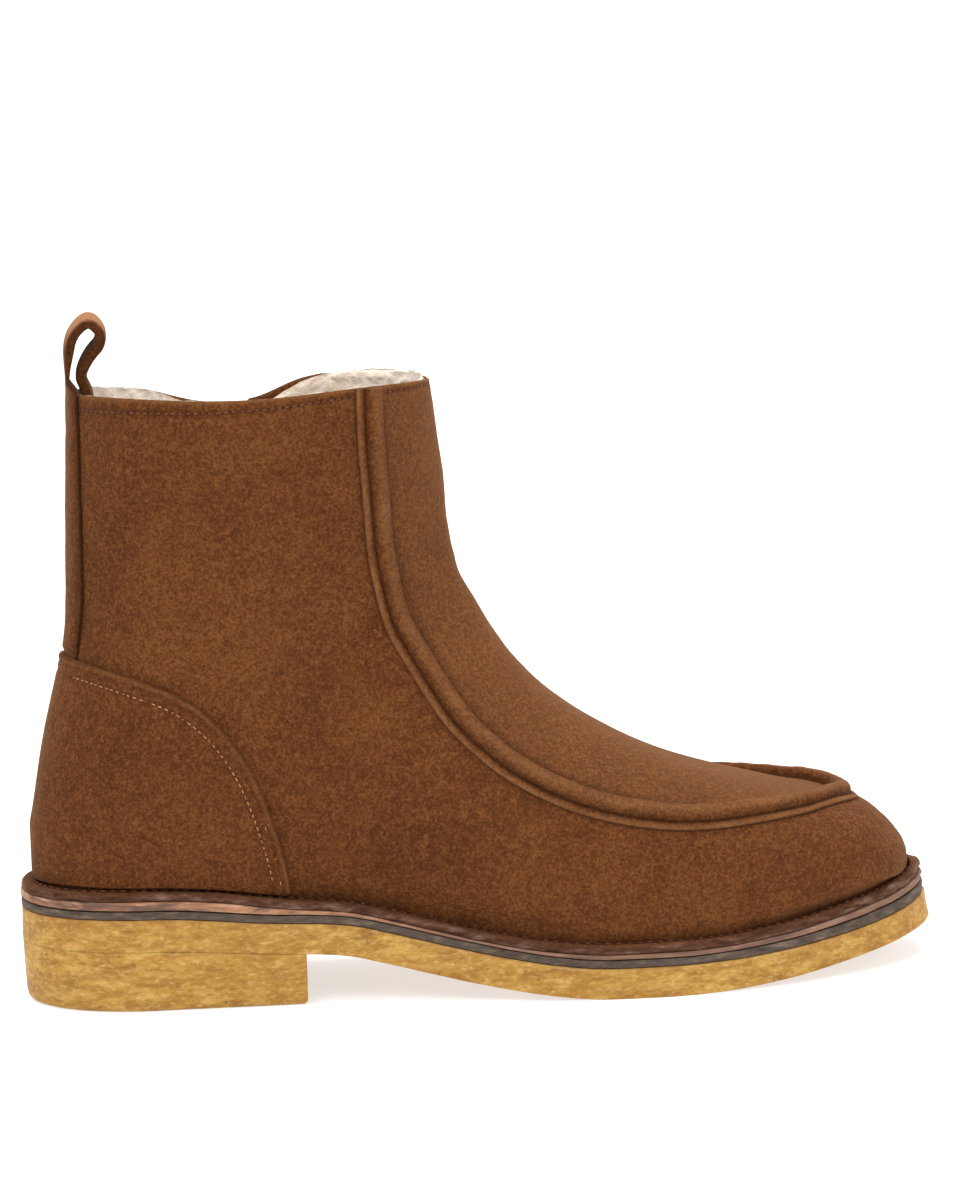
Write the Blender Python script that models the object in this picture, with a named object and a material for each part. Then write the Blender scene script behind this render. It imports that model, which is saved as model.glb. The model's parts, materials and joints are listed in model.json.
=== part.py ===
"""A right suede ankle boot with a raised apron seam, a side zip and a crepe sole.

The boot stands on its heel and forefoot. +X runs to the toe, +Y to the inner side of the
foot and +Z up. The origin is on the floor, in the middle of the boot's bounding box.
The whole boot follows two forms. The sole is a bent plate: a point on it has a station
along the length, a reach across, and a height above the tread. The upper is a row of
sections from the toe tip to the collar: a point on it has a section number and a place
around that section, from the outer edge at -1 over the top at 0 to the inner edge at +1.
"""

import math

import bmesh
import bpy
import numpy as np

MM = 0.001

# Sole
SOLE_LENGTH = 280 * MM
BALL_WIDTH = 96 * MM
HEEL_WIDTH = 66 * MM
HEEL_BLOCK_HEIGHT = 16.5 * MM
HEEL_BLOCK_LENGTH = 84 * MM
HEEL_EDGE_ROUND = 2.0 * MM
HEEL_TAPER = 0.7 * MM
TOE_SPRING = 10.0 * MM
TOE_SWING = 4.5 * MM
TOE_ROUND_LENGTH = 88 * MM
HEEL_ROUND_LENGTH = 40 * MM
OUTSOLE_THICKNESS = 9.2 * MM
FILLER_THICKNESS = 2.1 * MM
MIDSOLE_THICKNESS = 2.8 * MM
WELT_THICKNESS = 2.4 * MM
WELT_REACH = 5.6 * MM
WELT_INNER_EDGE = 4.3 * MM
WELT_TOE_EDGE = 2.3 * MM
UPPER_LIFT = 0.3 * MM
EDGE_ROUND = 0.5 * MM
INSOLE_THICKNESS = 3.0 * MM

# Upper
UPPER_HEIGHT = 150.5 * MM
WALL = 2.6 * MM
SKIN = 1.4 * MM
NECK_HEIGHT = 3.5 * MM
NECK_SWELL = 0.8 * MM
COUNTER_REACH = 70.5 * MM
COUNTER_CENTRE_X = 17 * MM
COUNTER_CENTRE_Z = 33 * MM
BACK_STRAP_HALF_WIDTH = 11 * MM
COLLAR_OUTER_DIP = 1.6 * MM
COLLAR_INNER_DIP = 6.0 * MM
COLLAR_INNER_RISE = 2.2 * MM

# Apron seam: a rolled edge with a narrow flange beside it
ROLL_WIDTH = 5.6 * MM
ROLL_HEIGHT = 3.4 * MM
FLANGE_WIDTH = 2.8 * MM
FLANGE_HEIGHT = 0.9 * MM

# Pull loop
LOOP_HEIGHT = 22.5 * MM
LOOP_DEPTH = 11 * MM
LOOP_WIDTH = 14 * MM
LOOP_THICKNESS = 2.6 * MM
LOOP_LEAN = math.radians(8)

# Side zip
ZIP_SLOT_WIDTH = 10 * MM
ZIP_TAPE_THICKNESS = 1.0 * MM
ZIP_TEETH_WIDTH = 4.6 * MM
ZIP_TEETH_HEIGHT = 1.2 * MM
ZIP_TAPE_SINK = 0.7 * MM
ZIP_TOP_X = 71.8 * MM
ZIP_TOP_Z = 183 * MM
ZIP_SLANT = 0.06
SLIDER_LENGTH = 9.5 * MM
SLIDER_WIDTH = 7.6 * MM
BRIDGE_WIDTH = 2.0 * MM
BRIDGE_HEIGHT = 3.1 * MM
BRIDGE_REACH = 2.9 * MM
BRIDGE_WIRE = 1.1 * MM
PULL_LENGTH = 22 * MM
PULL_WIDTH = 6.4 * MM
PULL_THICKNESS = 1.1 * MM
PULL_AXIS_HEIGHT = 1.0 * MM
WINDOW_WIDTH = 3.6 * MM
WINDOW_LENGTH = 4.2 * MM

GAP = 0.3 * MM
COUNTER_GAP = 0.65 * MM
MERGE = 0.002 * MM

OUTER, INNER = -1, 1
LATTICE_ROWS = 541
LATTICE_COLUMNS = 241
LATTICE_PASSES = 400


def smoothstep(t):
    t = np.clip(t, 0, 1)
    return t * t * (3 - 2 * t)


class Table:
    """Rows of numbers under named columns. The first column places each row."""

    def __init__(self, columns, rows):
        self.names = columns.split()
        self.values = np.array(rows, float).T
        self.key = self.values[0]

    def smooth(self, name, x):
        """A natural cubic spline through the column, for forms that must flow."""
        y = self.values[self.names.index(name)]
        k = self.key
        n = len(k)
        h = np.diff(k)
        left = np.eye(n)
        right = np.zeros(n)
        for i in range(1, n - 1):
            left[i, i - 1 : i + 2] = h[i - 1], 2 * (h[i - 1] + h[i]), h[i]
            right[i] = 6 * ((y[i + 1] - y[i]) / h[i] - (y[i] - y[i - 1]) / h[i - 1])
        bend = np.linalg.solve(left, right)
        x = np.clip(np.asarray(x, float), k[0], k[-1])
        i = np.clip(np.searchsorted(k, x) - 1, 0, n - 2)
        a, b, w = k[i + 1] - x, x - k[i], h[i]
        curve = (bend[i] * a**3 + bend[i + 1] * b**3) / (6 * w)
        chord = (y[i] / w - bend[i] * w / 6) * a + (y[i + 1] / w - bend[i + 1] * w / 6) * b
        return curve + chord

    def steady(self, name, x):
        """A cubic that never swings past a row, so that flats stay flat."""
        y = self.values[self.names.index(name)]
        k = self.key
        h = np.diff(k)
        rate = np.diff(y) / h
        slope = np.zeros(len(k))
        same = rate[:-1] * rate[1:] > 0
        slope[1:-1][same] = 2 / (1 / rate[:-1][same] + 1 / rate[1:][same])
        slope[0], slope[-1] = rate[0], rate[-1]
        x = np.clip(np.asarray(x, float), k[0], k[-1])
        i = np.clip(np.searchsorted(k, x) - 1, 0, len(k) - 2)
        t = (x - k[i]) / h[i]
        start = (1 + 2 * t) * (1 - t) ** 2 * y[i] + t * (1 - t) ** 2 * h[i] * slope[i]
        end = t * t * (3 - 2 * t) * y[i + 1] + t * t * (t - 1) * h[i] * slope[i + 1]
        return start + end


# The sole's outline. Stations are shares of its length, reaches are shares of the
# half width that runs from the heel's to the ball's.
OUTLINE = Table(
    "station outer inner",
    [
        (0.00, 0.96, 0.98),
        (0.15, 0.98, 0.99),
        (0.30, 1.02, 0.97),
        (0.39, 0.98, 0.91),
        (0.46, 0.96, 0.88),
        (0.54, 0.97, 0.89),
        (0.61, 0.98, 0.94),
        (0.68, 1.00, 0.99),
        (0.74, 0.99, 1.01),
        (0.80, 0.97, 1.02),
        (0.88, 0.94, 1.01),
        (1.00, 0.92, 1.00),
    ],
)
WAIST_START, WAIST_END = 0.30, 0.62
HEEL_ROUNDNESS, TOE_ROUNDNESS = 2.1, 2.2

# The tread's height along the middle: shares of the heel block and of the toe spring.
TREAD = Table(
    "station heel spring",
    [
        (0.00, 1.04, 0.00),
        (0.15, 1.02, 0.00),
        (0.30, 0.93, 0.00),
        (0.34, 0.87, 0.00),
        (0.38, 0.72, 0.00),
        (0.42, 0.55, 0.00),
        (0.465, 0.37, 0.00),
        (0.51, 0.22, 0.00),
        (0.55, 0.11, 0.00),
        (0.59, 0.03, 0.00),
        (0.62, 0.00, 0.00),
        (0.70, 0.00, 0.00),
        (0.75, 0.00, 0.05),
        (0.82, 0.00, 0.22),
        (0.88, 0.00, 0.46),
        (0.94, 0.00, 0.75),
        (1.00, 0.00, 1.10),
    ],
)

# The leather midsole is thick under the heel and thin at the waist.
MIDSOLE = Table(
    "station share",
    [
        (0.00, 0.90),
        (0.20, 1.00),
        (0.31, 0.45),
        (0.40, 0.30),
        (0.50, 0.30),
        (0.62, 0.50),
        (1.00, 0.55),
    ],
)

# The upper's sections, from the toe tip to the collar. foot is where the lower end
# stands along the feather edge, from 1 at the toe to 0 at the heel. Up the back of the
# heel it leans with back_rise. top_x and top_rise place the upper end. Lengths are
# shares of the upper's length and height, widths are shares of half the ball width.
SECTIONS = Table(
    "section foot back_rise top_x top_rise outer inner widest crown base swing",
    [
        (0, 1.000, 0.000, 1.000, 0.000, 0.94, 0.95, 0.30, 2.2, 2.0, 1.00),
        (1, 0.985, 0.000, 1.004, 0.054, 0.94, 0.95, 0.30, 2.2, 2.0, 0.97),
        (2, 0.950, 0.000, 0.990, 0.110, 0.94, 0.95, 0.30, 2.3, 2.0, 0.90),
        (3, 0.900, 0.000, 0.962, 0.168, 0.94, 0.95, 0.30, 2.4, 2.0, 0.80),
        (4, 0.840, 0.000, 0.921, 0.212, 0.94, 0.95, 0.28, 2.5, 2.0, 0.68),
        (5, 0.770, 0.000, 0.866, 0.245, 0.95, 0.95, 0.26, 2.6, 2.0, 0.52),
        (6, 0.680, 0.000, 0.787, 0.299, 0.95, 0.95, 0.24, 2.5, 2.0, 0.34),
        (7, 0.580, 0.000, 0.693, 0.368, 0.91, 0.91, 0.24, 2.3, 2.0, 0.16),
        (8, 0.460, 0.000, 0.614, 0.451, 0.83, 0.83, 0.29, 2.2, 2.0, 0.05),
        (9, 0.340, 0.000, 0.558, 0.533, 0.75, 0.75, 0.34, 2.1, 2.1, 0.00),
        (10, 0.210, 0.000, 0.521, 0.621, 0.69, 0.70, 0.37, 2.0, 2.2, 0.00),
        (11, 0.090, 0.000, 0.497, 0.685, 0.67, 0.67, 0.39, 2.0, 2.3, 0.00),
        (12, 0.000, 0.000, 0.485, 0.744, 0.66, 0.66, 0.40, 2.0, 2.2, 0.00),
        (13, 0.003, 0.158, 0.480, 0.795, 0.66, 0.66, 0.43, 2.0, 2.1, 0.00),
        (14, 0.020, 0.318, 0.478, 0.848, 0.67, 0.67, 0.46, 2.0, 2.0, 0.00),
        (15, 0.043, 0.484, 0.476, 0.900, 0.68, 0.68, 0.48, 2.0, 1.9, 0.00),
        (16, 0.051, 0.637, 0.472, 0.962, 0.71, 0.71, 0.50, 2.0, 1.8, 0.00),
        (17, 0.055, 0.816, 0.468, 1.027, 0.75, 0.75, 0.50, 2.0, 1.85, 0.00),
        (18, 0.060, 0.999, 0.464, 1.090, 0.78, 0.78, 0.50, 2.05, 2.0, 0.00),
    ],
)
HEEL_SECTION = 12
COLLAR_SECTION = 18
WIDEST_PLACE = 0.6

# Where the middle of the apron's roll runs, from the toe up the outer side to the
# collar. The inner side mirrors it, and so does its first row, to keep it level there.
APRON_SEAM = Table(
    "step section place",
    [
        (-1, 3.90, -0.060),
        (0, 3.78, 0.000),
        (1, 3.90, 0.060),
        (2, 4.27, 0.122),
        (3, 4.80, 0.187),
        (4, 5.34, 0.240),
        (5, 6.10, 0.303),
        (6, 6.76, 0.335),
        (7, 7.45, 0.357),
        (8, 8.20, 0.369),
        (9, 8.92, 0.364),
        (10, 9.70, 0.336),
        (11, 10.8, 0.296),
        (12, 12.4, 0.284),
        (13, 14.2, 0.319),
        (14, 16.0, 0.341),
        (15, 18.0, 0.340),
    ],
)

# The heel counter's upper edge, as seen from the side: its reach from a point low at the
# heel's back, by the angle in quarter turns from level, forward to upright.
COUNTER_EDGE = Table(
    "angle reach",
    [
        (-0.10, 0.900),
        (0.05, 0.895),
        (0.20, 0.890),
        (0.34, 0.910),
        (0.47, 0.943),
        (0.58, 0.970),
        (0.68, 0.985),
        (0.78, 0.985),
        (0.89, 0.990),
        (1.02, 1.015),
    ],
)

# The pull loop's middle line, from the collar up, over and down inside the collar.
LOOP_PATH = Table(
    "step depth rise",
    [
        (1, 0.00, 0.16),
        (2, 0.01, 0.42),
        (3, 0.06, 0.66),
        (4, 0.24, 0.85),
        (5, 0.60, 0.98),
        (6, 0.88, 0.91),
        (7, 1.00, 0.79),
        (8, 0.94, 0.64),
        (9, 0.73, 0.52),
        (10, 0.49, 0.33),
        (11, 0.45, 0.17),
        (12, 0.58, 0.00),
        (13, 0.60, -0.30),
        (14, 0.58, -0.60),
    ],
)
COUNTER_FRONT = 9.62
COUNTER_TOP = 15.0
ZIP_BOTTOM_SECTION = 11.3
ZIP_TOP_SECTION = 17.5
SLIDER_SECTION = 16.9
CHAIN_TOP = ZIP_TEETH_HEIGHT - ZIP_TAPE_SINK
SLIDER_BASE = GAP - ZIP_TAPE_SINK
SLIDER_PLATE = CHAIN_TOP + GAP
SLIDER_TOP = SLIDER_PLATE + 1.1 * MM


def half_width(station):
    """The reference half width, from the heel's to the ball's."""
    share = smoothstep((station - WAIST_START) / (WAIST_END - WAIST_START))
    return (HEEL_WIDTH + (BALL_WIDTH - HEEL_WIDTH) * share) / 2


def rounding(distance, length, roundness):
    """1 away from an end, falling to 0 at the end along a superellipse."""
    t = np.clip(1 - distance / length, 0, 1)
    return (1 - t**roundness) ** (1 / roundness)


def toe_swing(station):
    return TOE_SWING * smoothstep((station - WAIST_END) / (1 - WAIST_END))


def outline_loop(count=900):
    """The sole's outline seen from above, as one closed loop from the heel's back."""
    turn = np.linspace(0, math.pi, count)
    station = (1 - np.cos(turn)) / 2
    x = station * SOLE_LENGTH
    ends = rounding(x, HEEL_ROUND_LENGTH, HEEL_ROUNDNESS)
    ends = ends * rounding(SOLE_LENGTH - x, TOE_ROUND_LENGTH, TOE_ROUNDNESS)
    reach = half_width(station) * ends
    middle = toe_swing(station)
    outer = middle - reach * OUTLINE.steady("outer", station)
    inner = middle + reach * OUTLINE.steady("inner", station)
    return np.stack([x, outer], 1), np.stack([x, inner], 1)


def inset_side(line, distance, side):
    """One side of the outline, moved inwards by a distance."""
    along = np.gradient(line, axis=0)
    along /= np.linalg.norm(along, axis=1)[:, None]
    inwards = np.stack([along[:, 1], -along[:, 0]], 1) * side
    moved = line + inwards * distance
    middle = toe_swing(moved[:, 0] / SOLE_LENGTH)
    keep = (moved[:, 1] - middle) * side > 0
    moved = moved[keep]
    first = [moved[0, 0] - 0.02 * distance, middle[keep][0]]
    last = [moved[-1, 0] + 0.02 * distance, middle[keep][-1]]
    return np.vstack([first, moved, last])


class Outline:
    """The sole's outline moved inwards by a distance: the reach of each side at a length."""

    def __init__(self, inset):
        outer, inner = outline_loop()
        if inset > 0:
            outer = inset_side(outer, inset, OUTER)
            inner = inset_side(inner, inset, INNER)
        self.lines = {OUTER: outer, INNER: inner}
        self.start = max(outer[0, 0], inner[0, 0])
        self.end = min(outer[-1, 0], inner[-1, 0])
        self.mid_start = (outer[0, 1] + inner[0, 1]) / 2
        self.mid_end = (outer[-1, 1] + inner[-1, 1]) / 2

    def reach(self, x, side):
        line = self.lines[side]
        y = np.interp(x, line[:, 0], line[:, 1])
        y = np.where(x <= self.start, self.mid_start, y)
        return np.where(x >= self.end, self.mid_end, y)


def tread_height(x):
    station = x / SOLE_LENGTH
    lift = TREAD.steady("heel", station) * (HEEL_BLOCK_HEIGHT + GAP)
    return lift + TREAD.steady("spring", station) * TOE_SPRING


def plate_point(x, y, height):
    """A point of the bent sole: height is measured square to the tread's curve."""
    step = 0.5 * MM
    slope = (tread_height(x + step) - tread_height(x - step)) / (2 * step)
    length = np.sqrt(1 + slope**2)
    return np.stack(
        [x - height * slope / length, y + 0 * x, tread_height(x) + height / length], -1
    )


def midsole_thickness(x):
    return MIDSOLE_THICKNESS * MIDSOLE.steady("share", x / SOLE_LENGTH)


FILLER_BASE = OUTSOLE_THICKNESS + GAP
MIDSOLE_BASE = FILLER_BASE + FILLER_THICKNESS + GAP


def seat_height(x):
    """The height in the sole at which the upper, the welt and the insole stand."""
    return MIDSOLE_BASE + midsole_thickness(x) + GAP


FEATHER = Outline(WELT_REACH)
FEATHER_LENGTH = FEATHER.end - FEATHER.start


def feather_level(x):
    return plate_point(x, 0, seat_height(x) + UPPER_LIFT)


def section(k):
    """Everything that shapes the section at k, in metres."""
    k = np.asarray(k, float)
    foot = FEATHER.start + FEATHER_LENGTH * np.clip(SECTIONS.smooth("foot", k), 0, 1)
    bottom = feather_level(foot)
    bottom[..., 2] += UPPER_HEIGHT * np.where(k > HEEL_SECTION, SECTIONS.smooth("back_rise", k), 0)
    heel_end = feather_level(np.array([FEATHER.start]))[0, 0]
    toe_end = feather_level(np.array([FEATHER.end]))[0, 0]
    top_x = heel_end + (toe_end - heel_end) * SECTIONS.smooth("top_x", k)
    top_z = feather_level(np.clip(top_x, FEATHER.start, FEATHER.end))[..., 2]
    top_z = top_z + UPPER_HEIGHT * SECTIONS.smooth("top_rise", k)
    middle = TOE_SWING * SECTIONS.smooth("swing", k)
    toe = rounding(FEATHER.end - foot, TOE_ROUND_LENGTH - WELT_REACH, TOE_ROUNDNESS)
    on_sole = k < HEEL_SECTION
    shape = {"bottom": bottom, "top_x": top_x, "top_z": top_z, "middle": middle}
    for side, name in ((OUTER, "outer"), (INNER, "inner")):
        wide = BALL_WIDTH / 2 * SECTIONS.smooth(name, k) * np.maximum(toe, 1e-3)
        seat = np.where(on_sole, (FEATHER.reach(foot, side) - middle) * side, 0)
        shape[side] = wide, np.clip(seat / wide, 0, 0.995)
    for name in ("widest", "crown", "base"):
        shape[name] = SECTIONS.smooth(name, k)
    shape["length"] = np.hypot(top_x - bottom[..., 0], top_z - bottom[..., 2])
    return shape


def necked(k, y, seat, height):
    """Just above the welt the wall starts upright, then swells to its full width."""
    swell = np.maximum(y - seat, 1e-7)
    hold = np.maximum(smoothstep((HEEL_SECTION - 1.2 - k) / 1.2), 1e-4)
    limit = np.maximum(NECK_SWELL * (height / NECK_HEIGHT) ** 2 / hold, 1e-7)
    return seat + (swell**-3 + limit**-3) ** (-1 / 3)


def plain_surface(k, place):
    """The upper's outer surface as each section alone gives it."""
    k, place = np.broadcast_arrays(np.asarray(k, float), np.asarray(place, float))
    s = section(k)
    side = place < 0
    wide = np.where(side, s[OUTER][0], s[INNER][0])
    seat = np.where(side, s[OUTER][1], s[INNER][1])
    around = np.abs(place)
    crown, base = s["crown"], s["base"]
    # Over the crown: from the top to the widest place.
    turn = math.pi / 2 * np.clip(around / WIDEST_PLACE, 0, 1)
    c, n = np.abs(np.cos(turn)), np.abs(np.sin(turn))
    r = (c**crown + n**crown) ** (-1 / crown)
    high_y, high_q = wide * r * n, s["widest"] + (1 - s["widest"]) * r * c
    # Below the widest place: down to the feather edge, or round to the back seam.
    cut = (1 - seat**base) ** (1 / base)
    end = np.arctan2(cut, seat)
    turn = end * np.clip((around - WIDEST_PLACE) / (1 - WIDEST_PLACE), 0, 1)
    c, n = np.abs(np.cos(turn)), np.abs(np.sin(turn))
    r = (c**base + n**base) ** (-1 / base)
    low_y, low_q = wide * r * c, s["widest"] * (1 - r * n / cut)
    low_y = necked(k, low_y, wide * seat, low_q * s["length"])
    above = around <= WIDEST_PLACE
    y = np.where(above, high_y, low_y)
    q = np.where(above, high_q, low_q)
    b = s["bottom"]
    return np.stack(
        [
            b[..., 0] + (s["top_x"] - b[..., 0]) * q,
            s["middle"] + np.where(side, -y, y),
            b[..., 2] + (s["top_z"] - b[..., 2]) * q,
        ],
        -1,
    )


def smoothed_lattice():
    """The sections' surface on a fine lattice. Where the sections leave the sole and
    start up the heel, neighbouring ones are eased into one flow."""
    k = np.linspace(0, COLLAR_SECTION, LATTICE_ROWS)
    place = np.linspace(-1, 1, LATTICE_COLUMNS)
    points = plain_surface(k[:, None], place[None, :])
    near = 1 - smoothstep(np.abs(k - HEEL_SECTION) / 2.6)
    hold = near[1:-1, None, None] * (1 - np.abs(place) ** 8)[None, :, None]
    for _ in range(LATTICE_PASSES):
        bend = points[2:] + points[:-2] - 2 * points[1:-1]
        points[1:-1] += 0.3 * hold * bend
    return points


def surface(k, place):
    """The upper's outer surface at a section and a place around it."""
    k, place = np.broadcast_arrays(np.asarray(k, float), np.asarray(place, float))
    row = np.clip(k / COLLAR_SECTION, 0, 1) * (LATTICE_ROWS - 1)
    column = np.clip((place + 1) / 2, 0, 1) * (LATTICE_COLUMNS - 1)
    i = np.minimum(row.astype(int), LATTICE_ROWS - 2)
    j = np.minimum(column.astype(int), LATTICE_COLUMNS - 2)
    u, v = (row - i)[..., None], (column - j)[..., None]
    low = LATTICE[i, j] * (1 - v) + LATTICE[i, j + 1] * v
    high = LATTICE[i + 1, j] * (1 - v) + LATTICE[i + 1, j + 1] * v
    return low * (1 - u) + high * u


def collar_drop(place):
    """How far the collar's edge dips, in sections: a little outside, more at the zip."""
    last = surface(COLLAR_SECTION, 0.5)[2] - surface(COLLAR_SECTION - 1, 0.5)[2]
    hollow = np.exp(-(((np.abs(place) - 0.6) / 0.17) ** 2))
    depth = np.where(place < 0, COLLAR_OUTER_DIP, COLLAR_INNER_DIP)
    rise = np.where(place < 0, 0, COLLAR_INNER_RISE * np.sin(math.pi * place) ** 2)
    return (hollow * depth - rise) / last


def trimmed(k, place):
    """Section numbers eased down so that the last one follows the collar's edge."""
    share = smoothstep((k - (COLLAR_SECTION - 2)) / 2)
    return k - collar_drop(place) * share


def normals(k, place):
    """Outward normals of the upper's surface, by small steps along it."""
    k, place = np.broadcast_arrays(np.asarray(k, float), np.asarray(place, float))
    dk, dp = 0.02, 0.004
    k0, k1 = np.clip(k - dk, 0.03, None), np.clip(k + dk, None, COLLAR_SECTION)
    along = surface(k1, place) - surface(k0, place)
    p0, p1 = np.clip(place - dp, -1, 1), np.clip(place + dp, -1, 1)
    across = surface(k, p1) - surface(k, p0)
    n = np.cross(across, along)
    n /= np.maximum(np.linalg.norm(n, axis=-1), 1e-12)[..., None]
    seam = (np.abs(place) > 1 - dp) & (k >= HEEL_SECTION)
    n[seam] = back_normal(k[seam])
    return n


def back_normal(k):
    """The normal on the back seam, which lies in the boot's middle plane."""
    dk = 0.02
    along = surface(np.clip(k + dk, None, COLLAR_SECTION), 1.0) - surface(
        np.clip(k - dk, HEEL_SECTION, None), 1.0
    )
    n = np.stack([-along[..., 2], 0 * along[..., 0], along[..., 0]], -1)
    return n / np.linalg.norm(n, axis=-1)[..., None]


def sole_up(x):
    """The direction square to the sole at a length."""
    up = plate_point(x, 0, 1.0) - plate_point(x, 0, 0.0)
    return up / np.linalg.norm(up, axis=-1)[..., None]


def skin(k, place, distance):
    """The upper's surface moved out by a distance. Near the feather edge it moves
    along the sole, so that every layer ends on the same level."""
    k, place = np.broadcast_arrays(np.asarray(k, float), np.asarray(place, float))
    n = normals(k, place)
    base = surface(k, place)
    up = sole_up(np.clip(base[..., 0], FEATHER.start, FEATHER.end))
    level = smoothstep((np.abs(place) - 0.82) / 0.18) * smoothstep((HEEL_SECTION + 0.3 - k) / 0.6)
    toe = smoothstep((1.2 - k) / 1.2)
    level = np.maximum(level, toe * smoothstep((0.6 - k) / 0.6))
    n = n - (level * np.sum(n * up, -1))[..., None] * up
    n /= np.maximum(np.linalg.norm(n, axis=-1), 1e-12)[..., None]
    n[k < 0.02] = [1.0, 0.0, 0.0]
    moved = base + n * distance
    # At the heel's back no layer reaches below the feather edge.
    floor = feather_level(np.clip(moved[..., 0], FEATHER.start, FEATHER.end))[..., 2]
    rear = k > HEEL_SECTION - 0.7
    moved[..., 2] = np.where(rear, np.maximum(moved[..., 2], floor), moved[..., 2])
    return moved


def place_where(k, side, excess, low=0.0, high=1.0):
    """For each section, the first place from low to high at which excess is above 0."""
    places = np.linspace(low, high, 300)
    points = surface(k[:, None], side * places[None, :])
    value = excess(points)
    found = np.full(len(k), high)
    for row, line in enumerate(value):
        hits = np.nonzero(line > 0)[0]
        if len(hits):
            n = max(hits[0], 1)
            share = line[n - 1] / (line[n - 1] - line[n]) if line[n - 1] <= 0 else 0
            found[row] = places[n - 1] + share * (places[n] - places[n - 1])
    return found


def material(name, colour, roughness, metallic=0.0):
    made = bpy.data.materials.new(name)
    made.use_nodes = True
    made.diffuse_color = (*colour, 1)
    shader = made.node_tree.nodes["Principled BSDF"]
    shader.inputs["Base Color"].default_value = (*colour, 1)
    shader.inputs["Roughness"].default_value = roughness
    shader.inputs["Metallic"].default_value = metallic
    return made


def new_object(name, points, faces, finish, sharp=40):
    """A named, smooth-shaded mesh object, moved so that the origin is in its middle."""
    mesh = bpy.data.meshes.new(name)
    mesh.from_pydata([tuple(p - ORIGIN) for p in points], [], faces)
    shape = bmesh.new()
    shape.from_mesh(mesh)
    bmesh.ops.recalc_face_normals(shape, faces=shape.faces)
    shape.to_mesh(mesh)
    shape.free()
    mesh.materials.append(finish)
    mesh.shade_smooth()
    mesh.set_sharp_from_angle(angle=math.radians(sharp))
    made = bpy.data.objects.new(name, mesh)
    bpy.context.collection.objects.link(made)
    return made


def shell(name, outer, inner, cells, finish):
    """A closed solid from two matching sheets of points, with a rim along every open
    edge. Points of the outer sheet that coincide are joined, and so are their partners.
    Cells past the middle column start at another corner, so that both sides split alike."""
    shape = outer.shape[:-1]
    outer, inner = outer.reshape(-1, 3), inner.reshape(-1, 3)
    keys = np.round(outer / MERGE).astype(np.int64)
    _, first, back = np.unique(keys, axis=0, return_index=True, return_inverse=True)
    back = first[back.ravel()]
    number = {}
    points = []
    for i in back:
        if i not in number:
            number[i] = len(number)
            points.append(outer[i])
    points += [inner[i] for i in number]
    count = len(number)
    faces, edges = [], {}
    columns = shape[1]
    for row, column in cells:
        a = row * columns + column
        b = row * columns + (column + 1)
        corners = [a, b, b + columns, a + columns]
        if column >= columns // 2:
            corners = corners[1:] + corners[:1]
        quad = [number[back[i]] for i in corners]
        loop = [v for n, v in enumerate(quad) if v != quad[n - 1]]
        if len(set(loop)) < 3:
            continue
        faces.append(loop)
        faces.append([v + count for v in reversed(loop)])
        for start, stop in zip(loop, loop[1:] + loop[:1]):
            edges[start, stop] = True
    for start, stop in edges:
        if (stop, start) not in edges:
            faces.append([stop, start, start + count, stop + count])
    return new_object(name, points, faces, finish)


def all_cells(rows, columns):
    return [(r, c) for r in range(rows - 1) for c in range(columns - 1)]


def stations(count):
    """Even steps along the length, closer together at both round ends."""
    return (1 - np.cos(np.linspace(0, math.pi, count))) / 2


# How finely the forms are cut
SOLE_STATIONS = 37
UPPER_COLUMNS = 30
COUNTER_COLUMNS = 7
SEAM_STATIONS = 57
SEAM_ARC = np.linspace(0, math.pi, 8)[:-1]


def sole_rows(inset, base, top, rounded):
    """Matching sheets for a layer of the sole. The outer sheet wraps over the edge:
    edge foot, edge shoulder, flat top, edge shoulder, edge foot."""
    at = stations(SOLE_STATIONS)
    sheets = []
    for distance, height in ((0, base), (0, "shoulder"), (rounded, top)):
        line = Outline(inset + distance)
        x = line.start + at * (line.end - line.start)
        if height == "shoulder":
            level = top(x) - rounded
        else:
            level = height(x)
        sheets.append((x, line, level))
    columns = []
    for x, line, level in sheets:
        columns.append(plate_point(x, line.reach(x, OUTER), level))
    for x, line, level in reversed(sheets):
        columns.append(plate_point(x, line.reach(x, INNER), level))
    return np.stack(columns, 1)


def sole_layer(name, base, top, finish, rounded=EDGE_ROUND):
    """A full-length layer of the sole between two heights."""
    outer = sole_rows(0, base, top, rounded)
    under = outer.copy()
    x_low = Outline(0)
    at = stations(SOLE_STATIONS)
    x = x_low.start + at * (x_low.end - x_low.start)
    low = [plate_point(x, x_low.reach(x, side), base(x)) for side in (OUTER, INNER)]
    for column, share in enumerate((0, 0.02, 0.1, 0.9, 0.98, 1)):
        under[:, column] = low[0] * (1 - share) + low[1] * share
    return closed_prism(name, outer, under, finish)


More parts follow.
